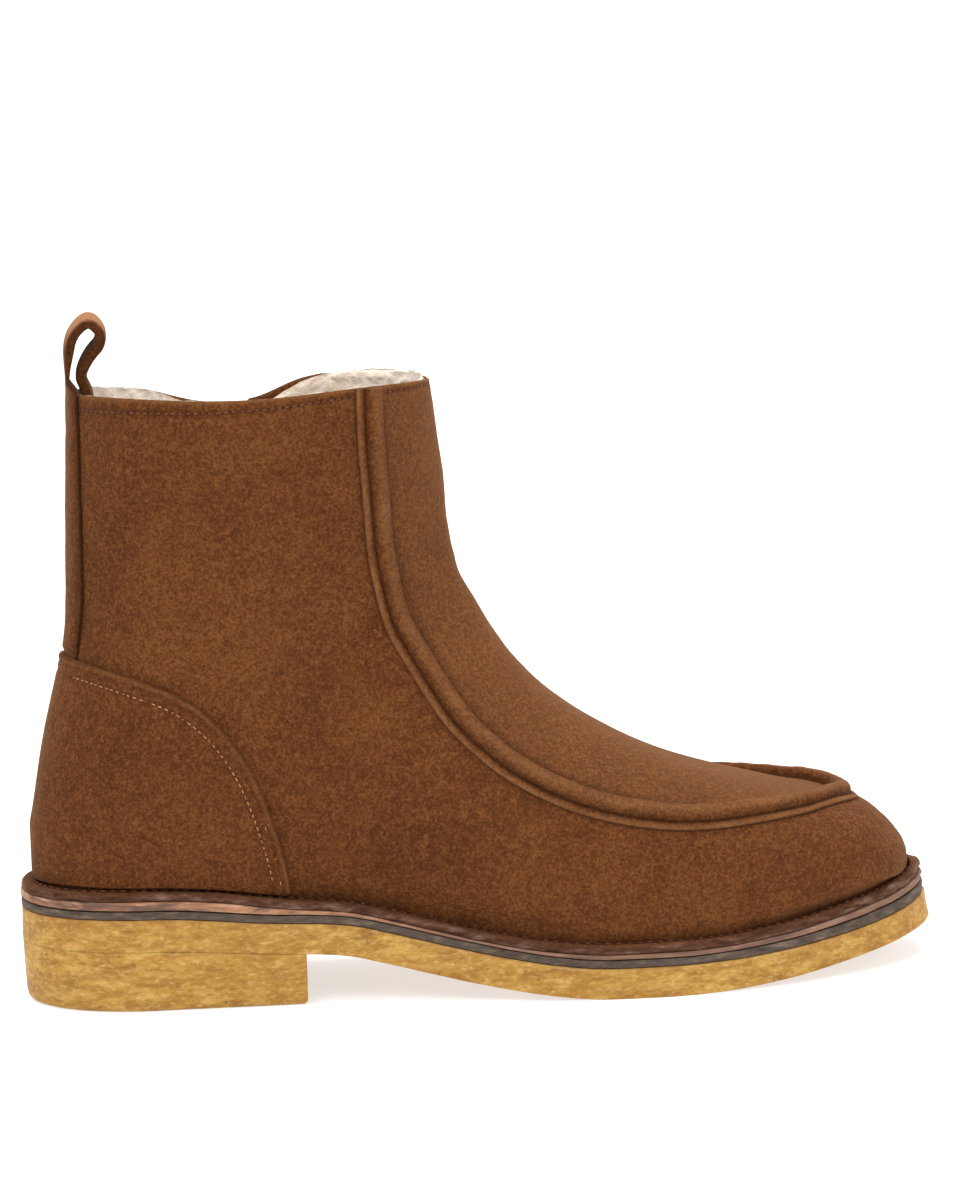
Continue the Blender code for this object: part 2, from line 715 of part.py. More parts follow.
def closed_prism(name, outer, under, finish):
    """A solid whose outer sheet already reaches down to the lower sheet's edges."""
    rows, columns = outer.shape[:2]
    points = np.concatenate([outer.reshape(-1, 3), under[:, [0, -1]].reshape(-1, 3)])
    keys = np.round(points / MERGE).astype(np.int64)
    _, first, back = np.unique(keys, axis=0, return_index=True, return_inverse=True)
    back = first[back.ravel()]
    faces = []

    def add(loop):
        loop = [int(back[v]) for v in loop]
        loop = [v for n, v in enumerate(loop) if v != loop[n - 1]]
        if len(loop) >= 3 and len(set(loop)) == len(loop):
            faces.append(loop)

    for row in range(rows - 1):
        for column in range(columns - 1):
            a = row * columns + column
            add([a, a + 1, a + 1 + columns, a + columns])
        low = rows * columns + 2 * row
        add([low + 1, low, low + 2, low + 3])
    for row in (0, rows - 1):
        ring = [row * columns + c for c in range(columns)]
        add(ring[::-1] if row == 0 else ring)
    used = sorted({v for f in faces for v in f})
    renumber = {v: n for n, v in enumerate(used)}
    faces = [[renumber[v] for v in f] for f in faces]
    return new_object(name, points[used], faces, finish)


def build_outsole(finish):
    return sole_layer("outsole", lambda x: 0 * x, lambda x: OUTSOLE_THICKNESS + 0 * x, finish)


def build_filler(finish):
    top = FILLER_BASE + FILLER_THICKNESS
    return sole_layer("filler", lambda x: FILLER_BASE + 0 * x, lambda x: top + 0 * x, finish)


def build_midsole(finish):
    return sole_layer(
        "midsole",
        lambda x: MIDSOLE_BASE + 0 * x,
        lambda x: MIDSOLE_BASE + midsole_thickness(x),
        finish,
        rounded=0.3 * MM,
    )


def build_heel(finish):
    """The heel block: flat on the floor, with a rounded lower edge and a straight front."""
    at = (1 - np.cos(np.linspace(0, math.pi / 2, 17))) ** 0.9
    levels = (
        (HEEL_TAPER + HEEL_EDGE_ROUND, 0.0),
        (HEEL_TAPER + HEEL_EDGE_ROUND * 0.3, HEEL_EDGE_ROUND * 0.3),
        (HEEL_TAPER, HEEL_EDGE_ROUND),
        (0.0, None),
    )
    sheets = []
    for inset, height in levels:
        line = Outline(inset) if inset > 0 else Outline(0)
        x = line.start + at * (HEEL_BLOCK_LENGTH - line.start)
        if height is None:
            place = plate_point(x, 0, -GAP)
            x_at, z = place[:, 0], place[:, 2]
            x_at = x_at + (HEEL_BLOCK_LENGTH - x_at[-1])
        else:
            x_at, z = x, height + 0 * x
        sheets.append((x_at, x, line, z))
    columns = [np.stack([s[0], s[2].reach(s[1], OUTER), s[3]], 1) for s in sheets]
    columns += [np.stack([s[0], s[2].reach(s[1], INNER), s[3]], 1) for s in reversed(sheets)]
    outer = np.stack(columns, 1)
    return closed_prism("heel", outer, outer, finish)


def ring_points(inset, height, count):
    """A closed loop of the outline, from the heel's back along the outer side."""
    line = Outline(inset)
    at = stations(count)
    x = line.start + at * (line.end - line.start)
    outer = plate_point(x, line.reach(x, OUTER), height(x))
    inner = plate_point(x, line.reach(x, INNER), height(x))
    return np.concatenate([outer, inner[-2:0:-1]])


def welt_inner_edge(height):
    """The welt's inner edge, which stands further out at the toe, where the upper leans."""
    near = ring_points(WELT_INNER_EDGE, height, SOLE_STATIONS)
    far = ring_points(WELT_TOE_EDGE, height, SOLE_STATIONS)
    share = smoothstep((near[:, :1] / SOLE_LENGTH - 0.74) / 0.13)
    return near + (far - near) * share


def build_welt(finish):
    """The suede flange turned out around the upper's foot, stitched to the midsole."""
    low = seat_height

    def high(x):
        return seat_height(x) + WELT_THICKNESS

    def shoulder(x):
        return high(x) - EDGE_ROUND

    loops = [
        ring_points(0, low, SOLE_STATIONS),
        ring_points(0, shoulder, SOLE_STATIONS),
        ring_points(EDGE_ROUND, high, SOLE_STATIONS),
        welt_inner_edge(high),
        welt_inner_edge(low),
    ]
    count, rings = len(loops[0]), len(loops)
    points = np.concatenate(loops)
    faces = []
    for ring in range(rings):
        after = (ring + 1) % rings
        for i in range(count):
            j = (i + 1) % count
            faces.append(
                [ring * count + i, ring * count + j, after * count + j, after * count + i]
            )
    return new_object("welt", points, faces, finish)


def build_insole(finish):
    inset = WELT_REACH + WALL + 8 * GAP
    at = stations(SOLE_STATIONS)
    line = Outline(inset)
    x = line.start + at * (line.end - line.start)
    base = seat_height(x) + GAP / 2
    top = base + INSOLE_THICKNESS
    columns = [
        plate_point(x, line.reach(x, OUTER), base),
        plate_point(x, line.reach(x, OUTER), top),
        plate_point(x, line.reach(x, INNER), top),
        plate_point(x, line.reach(x, INNER), base),
    ]
    outer = np.stack(columns, 1)
    return closed_prism("insole", outer, outer, finish)


def row_numbers():
    """The upper's section numbers: closer together at the toe tip and the heel seat."""
    tip = 1.0 * (np.linspace(0, 1, 4) ** 1.7)
    forepart = np.linspace(1, 10, 17)[1:]
    heel = 10 + 2 * (1 - (1 - np.linspace(0, 1, 7)[1:]) ** 1.8)
    shaft = np.linspace(HEEL_SECTION, COLLAR_SECTION, 16)[1:]
    return np.concatenate([tip, forepart, heel, shaft])


def zip_line(k):
    """The zip's middle line, as places on the inner side: straight in side view."""
    k = np.atleast_1d(np.asarray(k, float))

    def behind(points):
        return ZIP_TOP_X + (ZIP_TOP_Z - points[..., 2]) * ZIP_SLANT - points[..., 0]

    return place_where(k, INNER, behind, 0.25, 1.0)


def zip_edges(k, clearance=0.0):
    """The two sides of the zip's slot, as places on the inner side."""
    middle = zip_line(k)
    span = np.linalg.norm(surface(k, middle + 0.01) - surface(k, middle - 0.01), axis=-1) / 0.02
    reach = (ZIP_SLOT_WIDTH / 2 - clearance) / span
    return middle - reach, middle + reach


def build_upper(finish):
    """The whole upper as one wall, open at the collar, underneath and along the zip."""
    rows = row_numbers()
    even = np.linspace(0, 1, UPPER_COLUMNS // 2 + 1)
    slot = int(round(zip_line(14)[0] * (UPPER_COLUMNS // 2)))
    low_column, high_column = even[slot], even[slot + 1]
    k = np.repeat(rows[:, None], UPPER_COLUMNS + 1, 1)
    place = np.empty_like(k)
    first, last = zip_edges(rows)
    hold = smoothstep((rows - (ZIP_BOTTOM_SECTION - 4)) / 3)
    first = low_column + (first - low_column) * hold
    last = high_column + (last - high_column) * hold
    before, behind = even[slot - 3], even[slot + 4]
    knots = [0, before, low_column, high_column, behind, 1]
    for i in range(len(rows)):
        inner = np.interp(even, knots, [0, before, first[i], last[i], behind, 1])
        place[i] = np.concatenate([-even[::-1], inner[1:]])
    k = trimmed(k, place)
    outer = skin(k, place, 0.0)
    inside = skin(k, place, -WALL)
    middle = UPPER_COLUMNS // 2
    cells = [
        (r, c)
        for r, c in all_cells(*k.shape)
        if not (c == middle + slot and rows[r] > ZIP_BOTTOM_SECTION)
    ]
    return shell("upper", outer, inside, cells, finish)


def build_counter(finish):
    """The heel counter: a layer over the back of the heel, from the welt to its edge."""
    forward = HEEL_SECTION - (HEEL_SECTION - COUNTER_FRONT) * np.linspace(1, 0, 12) ** 1.3
    corner = HEEL_SECTION + np.linspace(0, 0.16, 6)[1:]
    behind = 1 - (1 - np.linspace(0, 1, 13)[1:]) ** 1.7
    behind = corner[-1] + (COUNTER_TOP - corner[-1]) * behind
    rows = np.concatenate([forward, corner, behind])
    clear = WELT_THICKNESS + 3 * GAP
    share = 1 - (1 - np.linspace(0, 1, COUNTER_COLUMNS)) ** 1.35
    count = len(rows)
    k = np.repeat(rows[:, None], 2 * COUNTER_COLUMNS, 1)
    place = np.empty_like(k)

    def low(points):
        level = feather_level(np.clip(points[..., 0], FEATHER.start, FEATHER.end))
        return level[..., 2] + clear - points[..., 2]

    def covered(points):
        ahead, rise = points[..., 0] - COUNTER_CENTRE_X, points[..., 2] - COUNTER_CENTRE_Z
        angle = np.arctan2(rise, ahead) / (math.pi / 2)
        reach = COUNTER_REACH * COUNTER_EDGE.smooth("reach", angle)
        return reach - np.hypot(ahead, rise)

    for side in (OUTER, INNER):
        edge = place_where(rows, side, covered, 0.4, 1.0)
        foot = np.maximum(place_where(rows, side, low, 0.5, 1.0), edge)
        line = edge[:, None] + (foot - edge)[:, None] * share
        if side == OUTER:
            place[:, :COUNTER_COLUMNS] = -line
        else:
            place[:, COUNTER_COLUMNS:] = line[:, ::-1]
    outer = skin(k, place, COUNTER_GAP + SKIN)
    inside = skin(k, place, COUNTER_GAP)
    cells = [(r, c) for r, c in all_cells(count, 2 * COUNTER_COLUMNS) if c != COUNTER_COLUMNS - 1]
    return shell("heel_counter", outer, inside, cells, finish)


def seam_path(steps):
    """Sections and places along the apron seam, from the outer collar round the toe."""
    reach = np.abs(steps)
    place = APRON_SEAM.smooth("place", reach) * np.sign(steps)
    return APRON_SEAM.smooth("section", reach), place


def beside(k, place, ahead, distance):
    """The section and place that lie a distance to the side of a path on the upper.
    ahead is the path's direction there, as steps in section and place."""
    small = 0.01
    per_k = (surface(k + small, place) - surface(k - small, place)) / (2 * small)
    per_p = (surface(k, place + small) - surface(k, place - small)) / (2 * small)
    along = per_k * ahead[0][..., None] + per_p * ahead[1][..., None]
    sideways = np.cross(along, normals(k, place))
    sideways /= np.linalg.norm(sideways, axis=-1)[..., None]
    kk, kp, pp = (np.sum(a * b, -1) for a, b in ((per_k, per_k), (per_k, per_p), (per_p, per_p)))
    sk, sp = np.sum(sideways * per_k, -1), np.sum(sideways * per_p, -1)
    scale = distance / (kk * pp - kp * kp)
    return k + (sk * pp - sp * kp) * scale, place + (sp * kk - sk * kp) * scale


def build_apron_seam(finish):
    """The raised seam round the apron: a roll with a flat flange on its lower side."""
    last = APRON_SEAM.key[-1]
    steps = np.linspace(-last, last, SEAM_STATIONS)
    k, place = seam_path(steps)
    small = 0.01
    after, before = seam_path(steps + small), seam_path(steps - small)
    ahead = (after[0] - before[0], after[1] - before[1])
    half = ROLL_WIDTH / 2
    profile = [(half * -math.cos(t), ROLL_HEIGHT * math.sin(t) ** 0.8) for t in SEAM_ARC]
    profile += [(half, FLANGE_HEIGHT), (half + FLANGE_WIDTH, FLANGE_HEIGHT)]
    profile += [(half + FLANGE_WIDTH, 0), (half, 0), (0, 0)]
    rings = []
    for across, height in profile:
        at_k, at_place = beside(k, place, ahead, across)
        at_k = trimmed(np.minimum(at_k, COLLAR_SECTION), at_place)
        rings.append(skin(at_k, at_place, 1.3 * GAP + height))
    return tube("apron_seam", np.stack(rings, 1), finish)


def tube(name, rings, finish):
    """A solid swept from one closed ring of points to the next, with flat ends."""
    rows, count = rings.shape[:2]
    faces = []
    for row in range(rows - 1):
        for i in range(count):
            j = (i + 1) % count
            faces.append(
                [row * count + i, row * count + j, (row + 1) * count + j, (row + 1) * count + i]
            )
    faces.append(list(range(count))[::-1])
    faces.append([(rows - 1) * count + i for i in range(count)])
    return new_object(name, rings.reshape(-1, 3), faces, finish)


def build_back_strap(finish):
    """One strip: sewn over the back seam, then standing up as the pull loop."""
    share = np.linspace(-1, 1, 6)
    rings = []
    for k in np.linspace(COUNTER_TOP + 0.07, COLLAR_SECTION, 9):
        span = np.linalg.norm(surface(k, 1.0) - surface(k, 0.97)) / 0.03
        across = BACK_STRAP_HALF_WIDTH * share / span
        place = np.where(across < 0, -1 - across, 1 - across)
        outer = skin(k, place, GAP + SKIN)
        inner = skin(k, place, GAP)
        rings.append(np.concatenate([outer, inner[::-1]]))
    start = surface(COLLAR_SECTION, 1.0)
    start = start + back_normal(np.array([float(COLLAR_SECTION)]))[0] * (GAP + SKIN / 2)
    steps = np.linspace(LOOP_PATH.key[0], LOOP_PATH.key[-1], 27)

    def path(step):
        depth = LOOP_PATH.smooth("depth", step) * LOOP_DEPTH
        rise = LOOP_PATH.smooth("rise", step) * LOOP_HEIGHT
        lean = -np.maximum(rise, 0) * math.tan(LOOP_LEAN)
        return start + np.stack([depth, lean, rise], -1)

    ahead = path(np.minimum(steps + 0.02, steps[-1])) - path(np.maximum(steps - 0.02, steps[0]))
    out = np.stack([-ahead[:, 2], 0 * steps, ahead[:, 0]], 1)
    out /= np.linalg.norm(out, axis=1)[:, None]
    settle = smoothstep((steps - 1) / 2)
    width = BACK_STRAP_HALF_WIDTH * 0.8 * (1 - settle) + LOOP_WIDTH / 2 * settle
    thick = SKIN * (1 - settle) + LOOP_THICKNESS * settle
    for centre, normal, half, depth in zip(path(steps), out, width, thick):
        line = centre + np.outer(half * share, [0, 1, 0])
        ring = [line + normal * depth / 2, (line - normal * depth / 2)[::-1]]
        rings.append(np.concatenate(ring))
    return tube("back_strap", np.stack(rings), finish)


def zip_strip(name, rows, half, low, high, finish):
    """A strip along the zip's line, between two depths of the upper's wall."""
    middle = zip_line(rows)
    span = np.linalg.norm(surface(rows, middle + 0.01) - surface(rows, middle - 0.01), axis=-1)
    reach = half * 0.02 / span
    share = np.linspace(-1, 1, 4)
    place = middle[:, None] + reach[:, None] * share
    k = trimmed(np.repeat(rows[:, None], 4, 1), place)
    outer, inside = skin(k, place, high), skin(k, place, low)
    return shell(name, outer, inside, all_cells(*k.shape), finish)


def slider_frame():
    """Where the zip's slider sits: its middle, and across, up and outward directions."""
    k = SLIDER_SECTION
    place = zip_line(k)[0]
    here = surface(k, place)
    up = surface(k + 0.4, zip_line(k + 0.4)[0]) - here
    out = normals(np.array([k]), np.array([place]))[0]
    up = up - out * np.dot(up, out)
    up /= np.linalg.norm(up)
    return here, np.cross(up, out), up, out


def placed(points, frame):
    """Points given as across, up and outward lengths, set in the slider's frame."""
    here, across, up, out = frame
    points = np.asarray(points, float)
    return here + points[:, :1] * across + points[:, 1:2] * up + points[:, 2:] * out


def prism(name, section_points, low, high, axis, frame, finish):
    """A solid with a flat outline, drawn from low to high along one local axis."""
    count = len(section_points)
    points = []
    for level in (low, high):
        for u, v in section_points:
            points.append(np.insert(np.array([u, v], float), axis, level))
    faces = [list(range(count))[::-1], [count + i for i in range(count)]]
    for i in range(count):
        j = (i + 1) % count
        faces.append([i, j, count + j, count + i])
    return new_object(name, placed(points, frame), faces, finish)


def build_slider(finish):
    """The slider: a plate with two lips beside the chain, and a bridge for the pull."""
    frame = slider_frame()
    half = SLIDER_WIDTH / 2
    lip = ZIP_TEETH_WIDTH / 2 + GAP
    low, under, top = SLIDER_BASE, SLIDER_PLATE, SLIDER_TOP
    body = [(-half, low), (-lip, low), (-lip, under), (lip, under), (lip, low), (half, low)]
    body += [(half, top), (-half, top)]
    slider = prism("zip_slider", body, -SLIDER_LENGTH / 2, SLIDER_LENGTH / 2, 1, frame, finish)
    reach, wire, height = BRIDGE_REACH, BRIDGE_WIRE, top + BRIDGE_HEIGHT
    sunk = top - 0.4 * MM
    arch = [(-reach, sunk), (-reach + wire, sunk), (-reach + wire, height - wire)]
    arch += [(reach - wire, height - wire), (reach - wire, sunk), (reach, sunk)]
    arch += [(reach, height - 0.5 * MM), (reach - 0.6 * MM, height)]
    arch += [(-reach + 0.6 * MM, height), (-reach, height - 0.5 * MM)]
    bridge = prism("bridge", arch, -BRIDGE_WIDTH / 2, BRIDGE_WIDTH / 2, 0, frame, finish)
    join = slider.modifiers.new("join", "BOOLEAN")
    join.operation, join.object, join.solver = "UNION", bridge, "EXACT"
    bpy.context.view_layer.update()
    seen = slider.evaluated_get(bpy.context.evaluated_depsgraph_get())
    joined = bpy.data.meshes.new_from_object(seen)
    slider.modifiers.clear()
    slider.data = joined
    bpy.data.objects.remove(bridge)
    return slider


def build_pull(finish):
    """The pull tab: a plate with a window, whose top bar passes under the bridge."""
    frame = slider_frame()
    half, bar = PULL_WIDTH / 2, PULL_THICKNESS / 2
    window, floor = WINDOW_WIDTH / 2, -WINDOW_LENGTH
    end = -PULL_LENGTH
    rim = [(-half, bar), (half, bar), (half, end + 1.5 * MM), (half - 1.5 * MM, end)]
    rim += [(-half + 1.5 * MM, end), (-half, end + 1.5 * MM)]
    hole = [(-window, -bar), (window, -bar), (window, floor), (-window, floor)]
    axis = SLIDER_TOP + PULL_AXIS_HEIGHT
    points, levels = [], (axis - bar, axis + bar)
    for level in levels:
        points += [(u, v, level) for u, v in rim + hole]
    flat = [(0, 1, 7, 6), (1, 2, 8, 7), (2, 3, 4, 5, 9, 8), (5, 0, 6, 9)]
    faces = [f[::-1] for f in flat] + [tuple(i + 10 for i in f) for f in flat]
    faces += [(i, (i + 1) % 6, (i + 1) % 6 + 10, i + 10) for i in range(6)]
    faces += [(6 + (i + 1) % 4, 6 + i, 16 + i, 16 + (i + 1) % 4) for i in range(4)]
    return new_object("zip_pull", placed(points, frame), faces, finish)


def empty_scene():
    for thing in list(bpy.data.objects):
        bpy.data.objects.remove(thing)


def boot_origin():
    """The floor point in the middle of the bounding box: the sole is the widest and
    longest piece, so its outline sets it."""
    outer, inner = outline_loop()
    low, high = outer[:, 1].min(), inner[:, 1].max()
    return np.array([SOLE_LENGTH / 2, (low + high) / 2, 0.0])


ORIGIN = boot_origin()
LATTICE = smoothed_lattice()


def build():
    empty_scene()
    suede = material("suede", (0.20, 0.085, 0.035), 0.95)
    crepe = material("crepe_rubber", (0.52, 0.33, 0.10), 0.7)
    leather = material("sole_leather", (0.45, 0.28, 0.17), 0.7)
    dark = material("dark_filler", (0.12, 0.10, 0.09), 0.85)
    fleece = material("fleece", (0.8, 0.74, 0.62), 1.0)
    tape = material("zip_tape", (0.09, 0.06, 0.045), 0.9)
    metal = material("zip_metal", (0.55, 0.45, 0.32), 0.35, 1.0)
    build_outsole(crepe)
    build_heel(crepe)
    build_filler(dark)
    build_midsole(leather)
    build_welt(suede)
    build_insole(fleece)
    build_upper(suede)
    build_counter(suede)
    build_apron_seam(suede)
    build_back_strap(suede)
    zip_rows = row_numbers()
    zip_rows = zip_rows[(zip_rows > ZIP_BOTTOM_SECTION) & (zip_rows < ZIP_TOP_SECTION)]
    zip_rows[0] += 0.06
    slot = ZIP_SLOT_WIDTH / 2 - 1.5 * GAP
    low, high = -ZIP_TAPE_SINK - ZIP_TAPE_THICKNESS, -ZIP_TAPE_SINK
    zip_strip("zip_tape", zip_rows, slot, low, high, tape)
    low, high = high + GAP, CHAIN_TOP
    zip_strip("zip_chain", zip_rows, ZIP_TEETH_WIDTH / 2, low, high, metal)
    build_slider(metal)
    build_pull(metal)


build()
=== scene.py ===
"""The looks of a right suede ankle boot: raised apron seam, side zip and crepe sole.

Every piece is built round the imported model, in its frame: metres, +X to the toe, +Y to
the inner side of the foot, +Z up. The shapes come from the same two forms as the model.
The sole is a bent plate: a point on it has a length, a reach across and a height above
the tread. The upper is a row of sections from the toe tip to the collar: a point on it
has a section number and a place around it, from the outer edge at -1 over the top at 0
to the inner edge at +1. Lengths in the shapes are metres, and the boot is drawn with its
heel at x = 0, then moved by ORIGIN.
"""

import json
import math

import bmesh
import bpy
import numpy as np
from mathutils import Matrix

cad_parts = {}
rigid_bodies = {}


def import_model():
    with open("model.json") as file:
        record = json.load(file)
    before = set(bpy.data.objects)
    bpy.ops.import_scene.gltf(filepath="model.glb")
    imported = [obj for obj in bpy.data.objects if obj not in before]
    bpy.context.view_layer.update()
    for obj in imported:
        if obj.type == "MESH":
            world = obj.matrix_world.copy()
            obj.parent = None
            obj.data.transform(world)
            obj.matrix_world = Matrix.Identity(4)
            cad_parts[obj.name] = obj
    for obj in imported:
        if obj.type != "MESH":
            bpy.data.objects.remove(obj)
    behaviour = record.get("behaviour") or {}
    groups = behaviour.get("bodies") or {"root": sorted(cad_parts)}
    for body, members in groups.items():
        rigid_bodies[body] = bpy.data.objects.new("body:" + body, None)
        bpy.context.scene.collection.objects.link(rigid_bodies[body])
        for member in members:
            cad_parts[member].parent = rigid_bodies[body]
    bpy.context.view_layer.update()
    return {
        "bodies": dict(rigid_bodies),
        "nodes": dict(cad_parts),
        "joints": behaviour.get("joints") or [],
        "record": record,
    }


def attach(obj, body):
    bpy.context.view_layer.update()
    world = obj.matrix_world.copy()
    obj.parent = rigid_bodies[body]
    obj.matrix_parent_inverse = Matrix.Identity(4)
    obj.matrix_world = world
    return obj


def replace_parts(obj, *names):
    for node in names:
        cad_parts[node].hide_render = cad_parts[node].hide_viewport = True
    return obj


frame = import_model()

MM = 0.001

# Sole
SOLE_LENGTH = 280 * MM
BALL_WIDTH = 96 * MM
HEEL_WIDTH = 66 * MM
HEEL_BLOCK_HEIGHT = 16.5 * MM
HEEL_BLOCK_LENGTH = 84 * MM
HEEL_EDGE_ROUND = 2.0 * MM
HEEL_TAPER = 0.7 * MM
TOE_SPRING = 10.0 * MM
TOE_SWING = 4.5 * MM
TOE_ROUND_LENGTH = 88 * MM
HEEL_ROUND_LENGTH = 40 * MM
OUTSOLE_THICKNESS = 9.2 * MM
FILLER_THICKNESS = 2.1 * MM
MIDSOLE_THICKNESS = 2.8 * MM
WELT_THICKNESS = 2.4 * MM
WELT_REACH = 5.6 * MM
WELT_INNER_EDGE = 4.3 * MM
WELT_TOE_EDGE = 2.3 * MM
UPPER_LIFT = 0.3 * MM
INSOLE_THICKNESS = 3.0 * MM

# Upper
UPPER_HEIGHT = 150.5 * MM
WALL = 2.6 * MM
SKIN = 1.4 * MM
NECK_HEIGHT = 3.5 * MM
NECK_SWELL = 0.8 * MM
COUNTER_REACH = 70.5 * MM
COUNTER_CENTRE_X = 17 * MM
COUNTER_CENTRE_Z = 33 * MM
BACK_STRAP_HALF_WIDTH = 11 * MM
COLLAR_OUTER_DIP = 1.6 * MM
COLLAR_INNER_DIP = 6.0 * MM
COLLAR_INNER_RISE = 2.2 * MM

# Apron seam: a rolled edge with a narrow flange beside it
ROLL_WIDTH = 5.6 * MM
ROLL_HEIGHT = 3.4 * MM
FLANGE_WIDTH = 2.8 * MM

# Pull loop
LOOP_HEIGHT = 22.5 * MM
LOOP_DEPTH = 11 * MM
LOOP_WIDTH = 14 * MM
LOOP_THICKNESS = 2.6 * MM
LOOP_LEAN = math.radians(8)

# Side zip
ZIP_SLOT_WIDTH = 10 * MM
ZIP_TAPE_THICKNESS = 1.0 * MM
ZIP_TEETH_WIDTH = 4.6 * MM
ZIP_TEETH_HEIGHT = 1.2 * MM
ZIP_TAPE_SINK = 0.7 * MM
ZIP_TOP_X = 71.8 * MM
ZIP_TOP_Z = 183 * MM
ZIP_SLANT = 0.06
SLIDER_LENGTH = 9.5 * MM
SLIDER_WIDTH = 7.6 * MM
BRIDGE_WIDTH = 2.0 * MM
BRIDGE_HEIGHT = 3.1 * MM
BRIDGE_REACH = 2.9 * MM
BRIDGE_WIRE = 1.1 * MM
PULL_LENGTH = 22 * MM
PULL_WIDTH = 6.4 * MM
PULL_THICKNESS = 1.1 * MM
PULL_AXIS_HEIGHT = 1.0 * MM
WINDOW_WIDTH = 3.6 * MM
WINDOW_LENGTH = 4.2 * MM

GAP = 0.3 * MM
COUNTER_GAP = 0.65 * MM
MERGE = 0.002 * MM

OUTER, INNER = -1, 1
LATTICE_ROWS = 541
LATTICE_COLUMNS = 481
LATTICE_PASSES = 400


def smoothstep(t):
    t = np.clip(t, 0, 1)
    return t * t * (3 - 2 * t)


def unit(v, least=0.0):
    """Vectors scaled to a length of 1."""
    return v / np.maximum(np.linalg.norm(v, axis=-1, keepdims=True), least)


def pairs(k, place):
    """Sections and places as arrays of one shape."""
    return np.broadcast_arrays(np.asarray(k, float), np.asarray(place, float))


def distances(line):
    """How far along a line of points each one lies."""
    return np.concatenate([[0], np.cumsum(np.linalg.norm(np.diff(line, axis=0), axis=1))])


class Table:
    """Rows of numbers under named columns. The first column places each row."""

    def __init__(self, columns, rows):
        self.names = columns.split()
        self.values = np.array(rows, float).T
        self.key = self.values[0]

    def smooth(self, name, x):
        """A natural cubic spline through the column, for forms that must flow."""
        y = self.values[self.names.index(name)]
        k = self.key
        n = len(k)
        h = np.diff(k)
        left = np.eye(n)
        right = np.zeros(n)
        for i in range(1, n - 1):
            left[i, i - 1 : i + 2] = h[i - 1], 2 * (h[i - 1] + h[i]), h[i]
            right[i] = 6 * ((y[i + 1] - y[i]) / h[i] - (y[i] - y[i - 1]) / h[i - 1])
        bend = np.linalg.solve(left, right)
        x = np.clip(np.asarray(x, float), k[0], k[-1])
        i = np.clip(np.searchsorted(k, x) - 1, 0, n - 2)
        a, b, w = k[i + 1] - x, x - k[i], h[i]
        curve = (bend[i] * a**3 + bend[i + 1] * b**3) / (6 * w)
        chord = (y[i] / w - bend[i] * w / 6) * a + (y[i + 1] / w - bend[i + 1] * w / 6) * b
        return curve + chord

    def steady(self, name, x):
        """A cubic that never swings past a row, so that flats stay flat."""
        y = self.values[self.names.index(name)]
        k = self.key
        h = np.diff(k)
        rate = np.diff(y) / h
        slope = np.zeros(len(k))
        same = rate[:-1] * rate[1:] > 0
        slope[1:-1][same] = 2 / (1 / rate[:-1][same] + 1 / rate[1:][same])
        slope[0], slope[-1] = rate[0], rate[-1]
        x = np.clip(np.asarray(x, float), k[0], k[-1])
        i = np.clip(np.searchsorted(k, x) - 1, 0, len(k) - 2)
        t = (x - k[i]) / h[i]
        start = (1 + 2 * t) * (1 - t) ** 2 * y[i] + t * (1 - t) ** 2 * h[i] * slope[i]
        end = t * t * (3 - 2 * t) * y[i + 1] + t * t * (t - 1) * h[i] * slope[i + 1]
        return start + end


# The sole's outline. Stations are shares of its length, reaches are shares of the
# half width that runs from the heel's to the ball's.
OUTLINE = Table(
    "station outer inner",
    [
        (0.00, 0.96, 0.98), (0.15, 0.98, 0.99), (0.30, 1.02, 0.97), (0.39, 0.98, 0.91),
        (0.46, 0.96, 0.88), (0.54, 0.97, 0.89), (0.61, 0.98, 0.94), (0.68, 1.00, 0.99),
        (0.74, 0.99, 1.01), (0.80, 0.97, 1.02), (0.88, 0.94, 1.01), (1.00, 0.92, 1.00),
    ],
)
WAIST_START, WAIST_END = 0.30, 0.62
HEEL_ROUNDNESS, TOE_ROUNDNESS = 2.1, 2.2

# The tread's height along the middle: shares of the heel block and of the toe spring.
TREAD = Table(
    "station heel spring",
    [
        (0.00, 1.04, 0.00), (0.15, 1.02, 0.00), (0.30, 0.93, 0.00), (0.34, 0.87, 0.00),
        (0.38, 0.72, 0.00), (0.42, 0.55, 0.00), (0.465, 0.37, 0.00), (0.51, 0.22, 0.00),
        (0.55, 0.11, 0.00), (0.59, 0.03, 0.00), (0.62, 0.00, 0.00), (0.70, 0.00, 0.00),
        (0.75, 0.00, 0.05), (0.82, 0.00, 0.22), (0.88, 0.00, 0.46), (0.94, 0.00, 0.75),
        (1.00, 0.00, 1.10),
    ],
)

# The leather midsole is thick under the heel and thin at the waist.
MIDSOLE = Table(
    "station share",
    [
        (0.00, 0.90), (0.20, 1.00), (0.31, 0.45), (0.40, 0.30), (0.50, 0.30), (0.62, 0.50),
        (1.00, 0.55),
    ],
)

